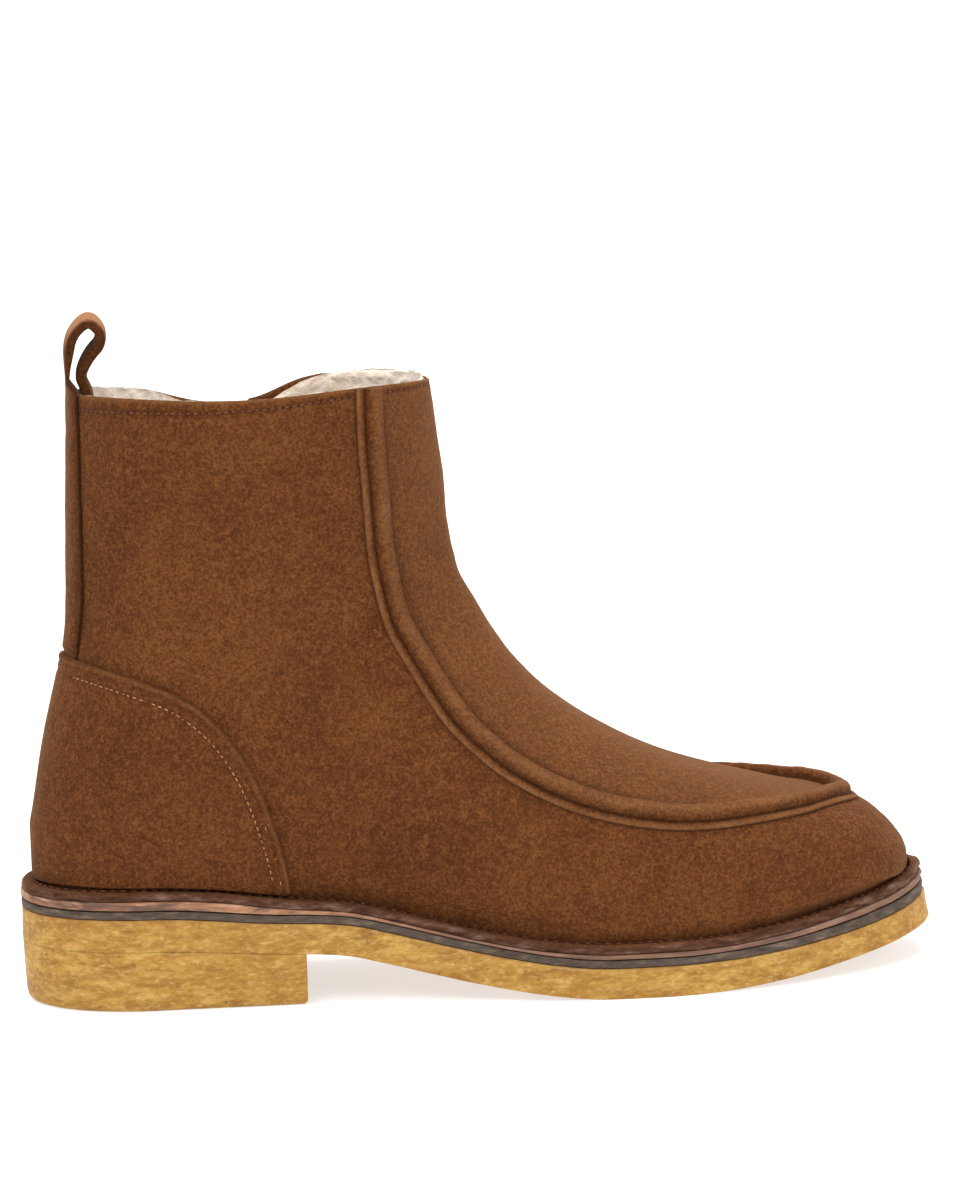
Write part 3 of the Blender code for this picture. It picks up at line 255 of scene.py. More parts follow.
# The upper's sections, from the toe tip to the collar. foot is where the lower end
# stands along the feather edge, from 1 at the toe to 0 at the heel. Up the back of the
# heel it leans with back_rise. top_x and top_rise place the upper end. Lengths are
# shares of the upper's length and height, widths are shares of half the ball width.
SECTIONS = Table(
    "section foot back_rise top_x top_rise outer inner widest crown base swing",
    [
        (0, 1.000, 0.000, 1.000, 0.000, 0.94, 0.95, 0.30, 2.2, 2.0, 1.00),
        (1, 0.985, 0.000, 1.004, 0.054, 0.94, 0.95, 0.30, 2.2, 2.0, 0.97),
        (2, 0.950, 0.000, 0.990, 0.110, 0.94, 0.95, 0.30, 2.3, 2.0, 0.90),
        (3, 0.900, 0.000, 0.962, 0.168, 0.94, 0.95, 0.30, 2.4, 2.0, 0.80),
        (4, 0.840, 0.000, 0.921, 0.212, 0.94, 0.95, 0.28, 2.5, 2.0, 0.68),
        (5, 0.770, 0.000, 0.866, 0.245, 0.95, 0.95, 0.26, 2.6, 2.0, 0.52),
        (6, 0.680, 0.000, 0.787, 0.299, 0.95, 0.95, 0.24, 2.5, 2.0, 0.34),
        (7, 0.580, 0.000, 0.693, 0.368, 0.91, 0.91, 0.24, 2.3, 2.0, 0.16),
        (8, 0.460, 0.000, 0.614, 0.451, 0.83, 0.83, 0.29, 2.2, 2.0, 0.05),
        (9, 0.340, 0.000, 0.558, 0.533, 0.75, 0.75, 0.34, 2.1, 2.1, 0.00),
        (10, 0.210, 0.000, 0.521, 0.621, 0.69, 0.70, 0.37, 2.0, 2.2, 0.00),
        (11, 0.090, 0.000, 0.497, 0.685, 0.67, 0.67, 0.39, 2.0, 2.3, 0.00),
        (12, 0.000, 0.000, 0.485, 0.744, 0.66, 0.66, 0.40, 2.0, 2.2, 0.00),
        (13, 0.003, 0.158, 0.480, 0.795, 0.66, 0.66, 0.43, 2.0, 2.1, 0.00),
        (14, 0.020, 0.318, 0.478, 0.848, 0.67, 0.67, 0.46, 2.0, 2.0, 0.00),
        (15, 0.043, 0.484, 0.476, 0.900, 0.68, 0.68, 0.48, 2.0, 1.9, 0.00),
        (16, 0.051, 0.637, 0.472, 0.962, 0.71, 0.71, 0.50, 2.0, 1.8, 0.00),
        (17, 0.055, 0.816, 0.468, 1.027, 0.75, 0.75, 0.50, 2.0, 1.85, 0.00),
        (18, 0.060, 0.999, 0.464, 1.090, 0.78, 0.78, 0.50, 2.05, 2.0, 0.00),
    ],
)
HEEL_SECTION = 12
COLLAR_SECTION = 18
WIDEST_PLACE = 0.6

# Where the middle of the apron's roll runs, from the toe up the outer side to the
# collar. The inner side mirrors it, and so does its first row, to keep it level there.
APRON_SEAM = Table(
    "step section place",
    [
        (-1, 3.90, -0.060), (0, 3.78, 0.000), (1, 3.90, 0.060), (2, 4.27, 0.122), (3, 4.80, 0.187),
        (4, 5.34, 0.240), (5, 6.10, 0.303), (6, 6.76, 0.335), (7, 7.45, 0.357), (8, 8.20, 0.369),
        (9, 8.92, 0.364), (10, 9.70, 0.336), (11, 10.8, 0.296), (12, 12.4, 0.284),
        (13, 14.2, 0.319), (14, 16.0, 0.341), (15, 18.0, 0.340),
    ],
)

# The heel counter's upper edge, as seen from the side: its reach from a point low at the
# heel's back, by the angle in quarter turns from level, forward to upright.
COUNTER_EDGE = Table(
    "angle reach",
    [
        (-0.10, 0.900), (0.05, 0.895), (0.20, 0.890), (0.34, 0.910), (0.47, 0.943), (0.58, 0.970),
        (0.68, 0.985), (0.78, 0.985), (0.89, 0.990), (1.02, 1.015),
    ],
)

# The pull loop's middle line, from the collar up, over and down inside the collar.
LOOP_PATH = Table(
    "step depth rise",
    [
        (1, 0.00, 0.16), (2, 0.01, 0.42), (3, 0.06, 0.66), (4, 0.24, 0.85), (5, 0.60, 0.98),
        (6, 0.88, 0.91), (7, 1.00, 0.79), (8, 0.94, 0.64), (9, 0.73, 0.52), (10, 0.49, 0.33),
        (11, 0.45, 0.17), (12, 0.58, 0.00), (13, 0.60, -0.30), (14, 0.58, -0.60),
    ],
)
COUNTER_FRONT = 9.62
COUNTER_TOP = 15.0
ZIP_BOTTOM_SECTION = 11.3
ZIP_TOP_SECTION = 17.5
SLIDER_SECTION = 16.9
CHAIN_TOP = ZIP_TEETH_HEIGHT - ZIP_TAPE_SINK
SLIDER_BASE = GAP - ZIP_TAPE_SINK
SLIDER_PLATE = CHAIN_TOP + GAP
SLIDER_TOP = SLIDER_PLATE + 1.1 * MM


def half_width(station):
    """The reference half width, from the heel's to the ball's."""
    share = smoothstep((station - WAIST_START) / (WAIST_END - WAIST_START))
    return (HEEL_WIDTH + (BALL_WIDTH - HEEL_WIDTH) * share) / 2


def rounding(distance, length, roundness):
    """1 away from an end, falling to 0 at the end along a superellipse."""
    t = np.clip(1 - distance / length, 0, 1)
    return (1 - t**roundness) ** (1 / roundness)


def toe_swing(station):
    return TOE_SWING * smoothstep((station - WAIST_END) / (1 - WAIST_END))


def outline_loop(count=900):
    """The sole's outline seen from above, as one closed loop from the heel's back."""
    turn = np.linspace(0, math.pi, count)
    station = (1 - np.cos(turn)) / 2
    x = station * SOLE_LENGTH
    ends = rounding(x, HEEL_ROUND_LENGTH, HEEL_ROUNDNESS)
    ends = ends * rounding(SOLE_LENGTH - x, TOE_ROUND_LENGTH, TOE_ROUNDNESS)
    reach = half_width(station) * ends
    middle = toe_swing(station)
    outer = middle - reach * OUTLINE.steady("outer", station)
    inner = middle + reach * OUTLINE.steady("inner", station)
    return np.stack([x, outer], 1), np.stack([x, inner], 1)


def inset_side(line, distance, side):
    """One side of the outline, moved inwards by a distance."""
    along = unit(np.gradient(line, axis=0))
    inwards = np.stack([along[:, 1], -along[:, 0]], 1) * side
    moved = line + inwards * distance
    middle = toe_swing(moved[:, 0] / SOLE_LENGTH)
    keep = (moved[:, 1] - middle) * side > 0
    moved = moved[keep]
    first = [moved[0, 0] - 0.02 * distance, middle[keep][0]]
    last = [moved[-1, 0] + 0.02 * distance, middle[keep][-1]]
    return np.vstack([first, moved, last])


class Outline:
    """The sole's outline moved inwards by a distance: the reach of each side at a length."""

    def __init__(self, inset):
        outer, inner = outline_loop()
        if inset > 0:
            outer = inset_side(outer, inset, OUTER)
            inner = inset_side(inner, inset, INNER)
        self.lines = {OUTER: outer, INNER: inner}
        self.start = max(outer[0, 0], inner[0, 0])
        self.end = min(outer[-1, 0], inner[-1, 0])
        self.mid_start = (outer[0, 1] + inner[0, 1]) / 2
        self.mid_end = (outer[-1, 1] + inner[-1, 1]) / 2

    def reach(self, x, side):
        line = self.lines[side]
        y = np.interp(x, line[:, 0], line[:, 1])
        y = np.where(x <= self.start, self.mid_start, y)
        return np.where(x >= self.end, self.mid_end, y)


def tread_height(x):
    station = x / SOLE_LENGTH
    lift = TREAD.steady("heel", station) * (HEEL_BLOCK_HEIGHT + GAP)
    return lift + TREAD.steady("spring", station) * TOE_SPRING


def plate_point(x, y, height):
    """A point of the bent sole: height is measured square to the tread's curve."""
    step = 0.5 * MM
    slope = (tread_height(x + step) - tread_height(x - step)) / (2 * step)
    length = np.sqrt(1 + slope**2)
    return np.stack(
        [x - height * slope / length, y + 0 * x, tread_height(x) + height / length], -1
    )


def midsole_thickness(x):
    return MIDSOLE_THICKNESS * MIDSOLE.steady("share", x / SOLE_LENGTH)


FILLER_BASE = OUTSOLE_THICKNESS + GAP
MIDSOLE_BASE = FILLER_BASE + FILLER_THICKNESS + GAP


def seat_height(x):
    """The height in the sole at which the upper, the welt and the insole stand."""
    return MIDSOLE_BASE + midsole_thickness(x) + GAP


FEATHER = Outline(WELT_REACH)
FEATHER_LENGTH = FEATHER.end - FEATHER.start


def feather_level(x):
    return plate_point(x, 0, seat_height(x) + UPPER_LIFT)


def section(k):
    """Everything that shapes the section at k, in metres."""
    k = np.asarray(k, float)
    foot = FEATHER.start + FEATHER_LENGTH * np.clip(SECTIONS.smooth("foot", k), 0, 1)
    bottom = feather_level(foot)
    bottom[..., 2] += UPPER_HEIGHT * np.where(k > HEEL_SECTION, SECTIONS.smooth("back_rise", k), 0)
    heel_end = feather_level(np.array([FEATHER.start]))[0, 0]
    toe_end = feather_level(np.array([FEATHER.end]))[0, 0]
    top_x = heel_end + (toe_end - heel_end) * SECTIONS.smooth("top_x", k)
    top_z = feather_level(np.clip(top_x, FEATHER.start, FEATHER.end))[..., 2]
    top_z = top_z + UPPER_HEIGHT * SECTIONS.smooth("top_rise", k)
    middle = TOE_SWING * SECTIONS.smooth("swing", k)
    toe = rounding(FEATHER.end - foot, TOE_ROUND_LENGTH - WELT_REACH, TOE_ROUNDNESS)
    on_sole = k < HEEL_SECTION
    shape = {"bottom": bottom, "top_x": top_x, "top_z": top_z, "middle": middle}
    for side, name in ((OUTER, "outer"), (INNER, "inner")):
        wide = BALL_WIDTH / 2 * SECTIONS.smooth(name, k) * np.maximum(toe, 1e-3)
        seat = np.where(on_sole, (FEATHER.reach(foot, side) - middle) * side, 0)
        shape[side] = wide, np.clip(seat / wide, 0, 0.995)
    for name in ("widest", "crown", "base"):
        shape[name] = SECTIONS.smooth(name, k)
    shape["length"] = np.hypot(top_x - bottom[..., 0], top_z - bottom[..., 2])
    return shape


def necked(k, y, seat, height):
    """Just above the welt the wall starts upright, then swells to its full width."""
    swell = np.maximum(y - seat, 1e-7)
    hold = np.maximum(smoothstep((HEEL_SECTION - 1.2 - k) / 1.2), 1e-4)
    limit = np.maximum(NECK_SWELL * (height / NECK_HEIGHT) ** 2 / hold, 1e-7)
    return seat + (swell**-3 + limit**-3) ** (-1 / 3)


def plain_surface(k, place):
    """The upper's outer surface as each section alone gives it."""
    k, place = pairs(k, place)
    s = section(k)
    side = place < 0
    wide = np.where(side, s[OUTER][0], s[INNER][0])
    seat = np.where(side, s[OUTER][1], s[INNER][1])
    around = np.abs(place)
    crown, base = s["crown"], s["base"]
    # Over the crown: from the top to the widest place.
    turn = math.pi / 2 * np.clip(around / WIDEST_PLACE, 0, 1)
    c, n = np.abs(np.cos(turn)), np.abs(np.sin(turn))
    r = (c**crown + n**crown) ** (-1 / crown)
    high_y, high_q = wide * r * n, s["widest"] + (1 - s["widest"]) * r * c
    # Below the widest place: down to the feather edge, or round to the back seam.
    cut = (1 - seat**base) ** (1 / base)
    end = np.arctan2(cut, seat)
    turn = end * np.clip((around - WIDEST_PLACE) / (1 - WIDEST_PLACE), 0, 1)
    c, n = np.abs(np.cos(turn)), np.abs(np.sin(turn))
    r = (c**base + n**base) ** (-1 / base)
    low_y, low_q = wide * r * c, s["widest"] * (1 - r * n / cut)
    low_y = necked(k, low_y, wide * seat, low_q * s["length"])
    above = around <= WIDEST_PLACE
    y = np.where(above, high_y, low_y)
    q = np.where(above, high_q, low_q)
    b = s["bottom"]
    return np.stack(
        [
            b[..., 0] + (s["top_x"] - b[..., 0]) * q,
            s["middle"] + np.where(side, -y, y),
            b[..., 2] + (s["top_z"] - b[..., 2]) * q,
        ],
        -1,
    )


def smoothed_lattice():
    """The sections' surface on a fine lattice. Where the sections leave the sole and
    start up the heel, neighbouring ones are eased into one flow."""
    k = np.linspace(0, COLLAR_SECTION, LATTICE_ROWS)
    place = np.linspace(-1, 1, LATTICE_COLUMNS)
    points = plain_surface(k[:, None], place[None, :])
    near = 1 - smoothstep(np.abs(k - HEEL_SECTION) / 2.6)
    hold = near[1:-1, None, None] * (1 - np.abs(place) ** 8)[None, :, None]
    for _ in range(LATTICE_PASSES):
        bend = points[2:] + points[:-2] - 2 * points[1:-1]
        points[1:-1] += 0.3 * hold * bend
    return points


def surface(k, place):
    """The upper's outer surface at a section and a place around it."""
    k, place = pairs(k, place)
    row = np.clip(k / COLLAR_SECTION, 0, 1) * (LATTICE_ROWS - 1)
    column = np.clip((place + 1) / 2, 0, 1) * (LATTICE_COLUMNS - 1)
    i = np.minimum(row.astype(int), LATTICE_ROWS - 2)
    j = np.minimum(column.astype(int), LATTICE_COLUMNS - 2)
    u, v = (row - i)[..., None], (column - j)[..., None]
    low = LATTICE[i, j] * (1 - v) + LATTICE[i, j + 1] * v
    high = LATTICE[i + 1, j] * (1 - v) + LATTICE[i + 1, j + 1] * v
    return low * (1 - u) + high * u


def collar_drop(place):
    """How far the collar's edge dips, in sections: a little outside, more at the zip."""
    last = surface(COLLAR_SECTION, 0.5)[2] - surface(COLLAR_SECTION - 1, 0.5)[2]
    hollow = np.exp(-(((np.abs(place) - 0.6) / 0.17) ** 2))
    depth = np.where(place < 0, COLLAR_OUTER_DIP, COLLAR_INNER_DIP)
    rise = np.where(place < 0, 0, COLLAR_INNER_RISE * np.sin(math.pi * place) ** 2)
    return (hollow * depth - rise) / last


def trimmed(k, place):
    """Section numbers eased down so that the last one follows the collar's edge."""
    share = smoothstep((k - (COLLAR_SECTION - 2)) / 2)
    return k - collar_drop(place) * share


def normals(k, place):
    """Outward normals of the upper's surface, by small steps along it."""
    k, place = pairs(k, place)
    dk, dp = 0.02, 0.004
    k0, k1 = np.clip(k - dk, 0.03, None), np.clip(k + dk, None, COLLAR_SECTION)
    along = surface(k1, place) - surface(k0, place)
    p0, p1 = np.clip(place - dp, -1, 1), np.clip(place + dp, -1, 1)
    across = surface(k, p1) - surface(k, p0)
    n = unit(np.cross(across, along), 1e-12)
    seam = (np.abs(place) > 1 - dp) & (k >= HEEL_SECTION)
    n[seam] = back_normal(k[seam])
    return n


def back_normal(k):
    """The normal on the back seam, which lies in the boot's middle plane."""
    dk = 0.02
    along = surface(np.clip(k + dk, None, COLLAR_SECTION), 1.0) - surface(
        np.clip(k - dk, HEEL_SECTION, None), 1.0
    )
    return unit(np.stack([-along[..., 2], 0 * along[..., 0], along[..., 0]], -1))


def sole_up(x):
    """The direction square to the sole at a length."""
    return unit(plate_point(x, 0, 1.0) - plate_point(x, 0, 0.0))


def skin(k, place, distance):
    """The upper's surface moved out by a distance. Near the feather edge it moves
    along the sole, so that every layer ends on the same level."""
    k, place = pairs(k, place)
    n = normals(k, place)
    base = surface(k, place)
    up = sole_up(np.clip(base[..., 0], FEATHER.start, FEATHER.end))
    level = smoothstep((np.abs(place) - 0.82) / 0.18) * smoothstep((HEEL_SECTION + 0.3 - k) / 0.6)
    toe = smoothstep((1.2 - k) / 1.2)
    level = np.maximum(level, toe * smoothstep((0.6 - k) / 0.6))
    n = unit(n - (level * np.sum(n * up, -1))[..., None] * up, 1e-12)
    n[k < 0.02] = [1.0, 0.0, 0.0]
    moved = base + n * np.asarray(distance)[..., None]
    # At the heel's back no layer reaches below the feather edge.
    floor = feather_level(np.clip(moved[..., 0], FEATHER.start, FEATHER.end))[..., 2]
    rear = k > HEEL_SECTION - 0.7
    moved[..., 2] = np.where(rear, np.maximum(moved[..., 2], floor), moved[..., 2])
    return moved


def place_where(k, side, excess, low=0.0, high=1.0):
    """For each section, the first place from low to high at which excess is above 0."""
    places = np.linspace(low, high, 300)
    points = surface(k[:, None], side * places[None, :])
    value = excess(points)
    found = np.full(len(k), high)
    for row, line in enumerate(value):
        hits = np.nonzero(line > 0)[0]
        if len(hits):
            n = max(hits[0], 1)
            share = line[n - 1] / (line[n - 1] - line[n]) if line[n - 1] <= 0 else 0
            found[row] = places[n - 1] + share * (places[n] - places[n - 1])
    return found


def zip_line(k):
    """The zip's middle line, as places on the inner side: straight in side view."""
    k = np.atleast_1d(np.asarray(k, float))

    def behind(points):
        return ZIP_TOP_X + (ZIP_TOP_Z - points[..., 2]) * ZIP_SLANT - points[..., 0]

    return place_where(k, INNER, behind, 0.25, 1.0)


def zip_edges(k, clearance=0.0):
    """The two sides of the zip's slot, as places on the inner side."""
    middle = zip_line(k)
    span = np.linalg.norm(surface(k, middle + 0.01) - surface(k, middle - 0.01), axis=-1) / 0.02
    reach = (ZIP_SLOT_WIDTH / 2 - clearance) / span
    return middle - reach, middle + reach


def seam_path(steps):
    """Sections and places along the apron seam, from the outer collar round the toe."""
    reach = np.abs(steps)
    place = APRON_SEAM.smooth("place", reach) * np.sign(steps)
    return APRON_SEAM.smooth("section", reach), place


def beside(k, place, ahead, distance):
    """The section and place that lie a distance to the side of a path on the upper.
    ahead is the path's direction there, as steps in section and place."""
    small = 0.01
    per_k = (surface(k + small, place) - surface(k - small, place)) / (2 * small)
    per_p = (surface(k, place + small) - surface(k, place - small)) / (2 * small)
    along = per_k * ahead[0][..., None] + per_p * ahead[1][..., None]
    sideways = unit(np.cross(along, normals(k, place)))
    kk, kp, pp = (np.sum(a * b, -1) for a, b in ((per_k, per_k), (per_k, per_p), (per_p, per_p)))
    sk, sp = np.sum(sideways * per_k, -1), np.sum(sideways * per_p, -1)
    scale = distance / (kk * pp - kp * kp)
    return k + (sk * pp - sp * kp) * scale, place + (sp * kk - sk * kp) * scale


def slider_frame():
    """Where the zip's slider sits: its middle, and across, up and outward directions."""
    k = SLIDER_SECTION
    place = zip_line(k)[0]
    here = surface(k, place)
    up = surface(k + 0.4, zip_line(k + 0.4)[0]) - here
    out = normals(np.array([k]), np.array([place]))[0]
    up = up - out * np.dot(up, out)
    up /= np.linalg.norm(up)
    return here, np.cross(up, out), up, out


def placed(points, frame):
    """Points given as across, up and outward lengths, set in the slider's frame."""
    here, across, up, out = frame
    points = np.asarray(points, float)
    return here + points[:, :1] * across + points[:, 1:2] * up + points[:, 2:] * out


def boot_origin():
    """The floor point in the middle of the bounding box: the sole is the widest and
    longest piece, so its outline sets it."""
    outer, inner = outline_loop()
    low, high = outer[:, 1].min(), inner[:, 1].max()
    return np.array([SOLE_LENGTH / 2, (low + high) / 2, 0.0])


ORIGIN = boot_origin()
LATTICE = smoothed_lattice()


# Looks

SUEDE_LAYER = 1.4 * MM
PILE = 2.4 * MM
COLLAR_STITCH_DROP = 2.9 * MM
SECTION_STEP = 17.5 * MM
GIRTH_STEP = 115 * MM

# The zip's corners at the rim: how far the rim dips there, over what length of it
CORNER_DIP = 2.4 * MM
CORNER_REACH = 15 * MM

# How far the sole's layers are moved, up to where at the heel and from where at the toe
HEEL_LIFT = 1.7 * MM
TOE_CREPE_THINNER = 1.4 * MM
TOE_LAYERS_THICKER = 0.9 * MM
HEEL_MOVE_END, HEEL_MOVE_FADE = 78 * MM, 40 * MM
TOE_MOVE_START, TOE_MOVE_FADE = 200 * MM, 70 * MM

# Soft folds of the upper: where each lies, which way it runs in quarter turns from level,
# how long and wide it is, and how far it stands out. Lengths are in millimetres.
FOLDS = Table(
    "number section place turn length width height",
    [
        (1, 14.1, -0.66, 0.06, 24, 6.0, 0.7), (2, 13.6, -0.60, 0.12, 28, 6.5, -0.6),
        (3, 15.4, -0.70, -0.05, 26, 9.0, 0.4), (4, 12.6, -0.52, 0.45, 26, 8.0, -0.5),
        (5, 11.6, -0.46, 0.60, 26, 9.0, 0.5), (6, 10.4, -0.52, 0.75, 30, 11.0, -0.5),
        (7, 8.8, -0.62, 0.85, 26, 12.0, 0.5), (8, 11.4, 0.00, 0.00, 34, 6.5, -0.25),
        (9, 10.6, 0.05, 0.04, 36, 7.0, 0.2), (10, 9.7, -0.03, -0.03, 38, 8.0, -0.25),
        (11, 13.9, 0.74, 0.05, 22, 6.0, 0.6), (12, 13.2, 0.70, 0.12, 26, 6.5, -0.5),
        (13, 10.8, 0.52, 0.65, 28, 10.0, -0.5), (14, 9.2, 0.60, 0.80, 28, 11.0, 0.5),
        (15, 16.3, -0.52, 0.10, 30, 10.0, -0.4), (16, 7.2, -0.70, 0.90, 24, 10.0, -0.3),
    ],
)


def noise(points, size, seed=0):
    """Smooth noise from -1 to 1 at points, in blobs of a size."""
    scaled = points / size
    cell = np.floor(scaled).astype(np.int64)
    t = smoothstep(scaled - cell)
    total = np.zeros(points.shape[:-1])
    for corner in range(8):
        step = np.array([corner & 1, corner >> 1 & 1, corner >> 2 & 1])
        x, y, z = np.moveaxis(cell + step, -1, 0)
        mixed = (x * 73856093) ^ (y * 19349663) ^ (z * 83492791) ^ (seed * 2654435761)
        mixed = ((mixed ^ (mixed >> 13)) * 1274126177) & 0xFFFFFFFF
        value = ((mixed ^ (mixed >> 16)) & 0xFFFF) / 32767.5 - 1
        total += value * np.prod(np.where(step == 1, t, 1 - t), -1)
    return total


def relief(k, place):
    """How far the folds and the hide's unevenness move the upper's surface out."""
    k, place = pairs(k, place)
    total = np.zeros(k.shape)
    for _, section_at, place_at, turn, length, width, height in FOLDS.values.T:
        across, up = (place - place_at) * GIRTH_STEP, (k - section_at) * SECTION_STEP
        c, s = math.cos(turn * math.pi / 2), math.sin(turn * math.pi / 2)
        along, aside = c * across + s * up, c * up - s * across
        share = (along / (length * MM)) ** 2 + (aside / (width * MM)) ** 2
        total += height * MM * np.exp(-share * 1.4)
    flat = np.stack([k * SECTION_STEP, place * GIRTH_STEP, 0 * k], -1)
    total += 0.22 * MM * noise(flat, 16 * MM, 3) + 0.10 * MM * noise(flat, 6 * MM, 4)
    calm = smoothstep((1 - np.abs(place)) / 0.12) * smoothstep(k / 2)
    rear = smoothstep((k - HEEL_SECTION) / 1.0)
    calm = np.maximum(calm, 0.6 * rear)
    return total * calm


def dressed(k, place, distance):
    """The upper's surface with its folds, moved out by a distance."""
    return skin(k, place, distance + relief(k, place))


def nearest(points, line):
    """Each point's distance to a line of points."""
    flat = points.reshape(-1, 3)
    found = np.empty(len(flat))
    for start in range(0, len(flat), 4000):
        part = flat[start : start + 4000]
        found[start : start + 4000] = np.linalg.norm(part[:, None] - line[None], axis=-1).min(1)
    return found.reshape(points.shape[:-1])


# Materials


def add(tree, kind, inputs=None, **settings):
    """One shader node, with its sockets set or linked, and its first used output."""
    node = tree.nodes.new("ShaderNode" + kind)
    for name, value in settings.items():
        setattr(node, name, value)
    for name, value in (inputs or {}).items():
        socket = node.inputs[name]
        if isinstance(value, bpy.types.NodeSocket):
            tree.links.new(value, socket)
        else:
            socket.default_value = value
    return node


def colour(*rgb):
    """Screen colours from 0 to 255, as linear light."""
    share = [c / 255 for c in rgb]
    linear = [c / 12.92 if c <= 0.04045 else ((c + 0.055) / 1.055) ** 2.4 for c in share]
    return (*linear, 1)


class Finish:
    """A procedural material in the making."""

    def __init__(self, name, roughness, **constants):
        self.material = bpy.data.materials.new(name)
        self.material.use_nodes = True
        self.tree = self.material.node_tree
        self.shader = self.tree.nodes["Principled BSDF"]
        self.shader.inputs["Roughness"].default_value = roughness
        for socket, value in constants.items():
            self.shader.inputs[socket.replace("_", " ")].default_value = value
        self.place = add(self.tree, "TexCoord").outputs["Object"]

    def stretched(self, x=1.0, y=1.0, z=1.0):
        node = add(self.tree, "Mapping", {"Vector": self.place, "Scale": (x, y, z)})
        return node.outputs["Vector"]

    def noise(self, size, detail=3.0, roughness=0.55, where=None, distortion=0.0):
        """Noise whose blobs are about a size across, in metres."""
        inputs = {"Vector": where or self.place, "Scale": 0.5 / size, "Detail": detail}
        inputs |= {"Roughness": roughness, "Distortion": distortion}
        return add(self.tree, "TexNoise", inputs).outputs["Fac"]

    def specks(self, size, where=None):
        inputs = {"Vector": where or self.place, "Scale": 1 / size}
        return add(self.tree, "TexVoronoi", inputs).outputs["Distance"]

    def painted(self, name):
        return add(self.tree, "Attribute", attribute_name=name).outputs["Fac"]

    def ramp(self, fac, *stops):
        """A colour or a grey for each share, from (share, colour) pairs."""
        node = add(self.tree, "ValToRGB", {"Fac": fac})
        band = node.color_ramp
        while len(band.elements) < len(stops):
            band.elements.new(0.5)
        for element, (share, value) in zip(band.elements, stops):
            element.position = share
            element.color = value if isinstance(value, tuple) else (value, value, value, 1)
        return node.outputs["Color"]

    def mix(self, fac, a, b, blend="MIX"):
        node = add(self.tree, "Mix", data_type="RGBA", blend_type=blend)
        for index, value in ((0, fac), (6, a), (7, b)):
            if isinstance(value, bpy.types.NodeSocket):
                self.tree.links.new(value, node.inputs[index])
            else:
                node.inputs[index].default_value = value
        return node.outputs[2]

    def bump(self, height, depth, strength=1.0, after=None):
        inputs = {"Height": height, "Distance": depth, "Strength": strength}
        if after is not None:
            inputs["Normal"] = after
        return add(self.tree, "Bump", inputs).outputs["Normal"]

    def done(self, base, normal=None, roughness=None):
        self.tree.links.new(base, self.shader.inputs["Base Color"])
        if normal is not None:
            self.tree.links.new(normal, self.shader.inputs["Normal"])
        if roughness is not None:
            self.tree.links.new(roughness, self.shader.inputs["Roughness"])
        return self.material


def suede(name, dark, mid, light, wear_and_highlight_colour=None, cut=None):
    """Brushed suede: cloudy tone, short nap, lighter where real wear and painted highlights are
    marked, and darker where painted shade is marked. 'cut' is the colour of its raw edge."""
    f = Finish(name, 0.95, Sheen_Weight=0.18, Sheen_Roughness=0.4, Specular_IOR_Level=0.1)
    f.shader.inputs["Sheen Tint"].default_value = colour(215, 165, 120)
    clouds = f.noise(22 * MM, 4, 0.6, distortion=0.4)
    clouds = f.ramp(clouds, (0.12, dark), (0.5, mid), (0.9, light))
    patches = f.noise(4.5 * MM, 4, 0.65)
    base = f.mix(f.ramp(patches, (0.42, 0.0), (0.75, 0.24)), clouds, light)
    base = f.mix(f.ramp(patches, (0.25, 0.26), (0.48, 0.0)), base, dark)
    grain = f.noise(0.95 * MM, 3, 0.8)
    base = f.mix(f.ramp(grain, (0.34, 0.6), (0.52, 0.0)), base, dark)
    base = f.mix(f.ramp(grain, (0.50, 0.0), (0.68, 0.6)), base, light)
    nap = f.noise(0.42 * MM, 3, 0.75)
    base = f.mix(f.ramp(nap, (0.33, 0.85), (0.52, 0.0)), base, dark)
    base = f.mix(f.ramp(nap, (0.52, 0.0), (0.72, 0.85)), base, light)
    # Lighter where real wear and painted highlights are marked, darker where painted shade is
    # marked.
    lightened = f.mix(1.0, f.painted("wear_and_highlight"), f.ramp(nap, (0.3, 0.5), (0.7, 1.0)), "MULTIPLY")
    base = f.mix(lightened, base, wear_and_highlight_colour or light)
    base = f.mix(f.painted("shade"), base, tuple(c * 0.42 for c in dark[:3]) + (1,))
    if cut is not None:
        streaks = f.noise(1.2 * MM, 4, 0.7, f.stretched(0.3, 0.3, 1.0))
        raw = f.ramp(streaks, (0.36, cut[0]), (0.52, cut[1]), (0.7, cut[2]))
        base = f.mix(f.painted("cut"), base, raw)
    normal = f.bump(nap, 0.35 * MM, 0.7)
    normal = f.bump(patches, 0.5 * MM, 0.35, normal)
    return f.done(base, normal)


def fleece_finish():
    f = Finish("fleece", 1.0, Sheen_Weight=0.5, Sheen_Roughness=0.6, Specular_IOR_Level=0.1)
    curl = f.noise(1.6 * MM, 4, 0.7, distortion=1.2)
    deep, mid, pale = colour(190, 170, 148), colour(216, 201, 184), colour(232, 221, 208)
    base = f.ramp(curl, (0.3, deep), (0.5, mid), (0.7, pale))
    clouds = f.ramp(f.noise(14 * MM), (0.4, 0.0), (0.7, 0.5))
    base = f.mix(clouds, base, colour(212, 190, 164))
    return f.done(base, f.bump(curl, 1.2 * MM, 0.8))


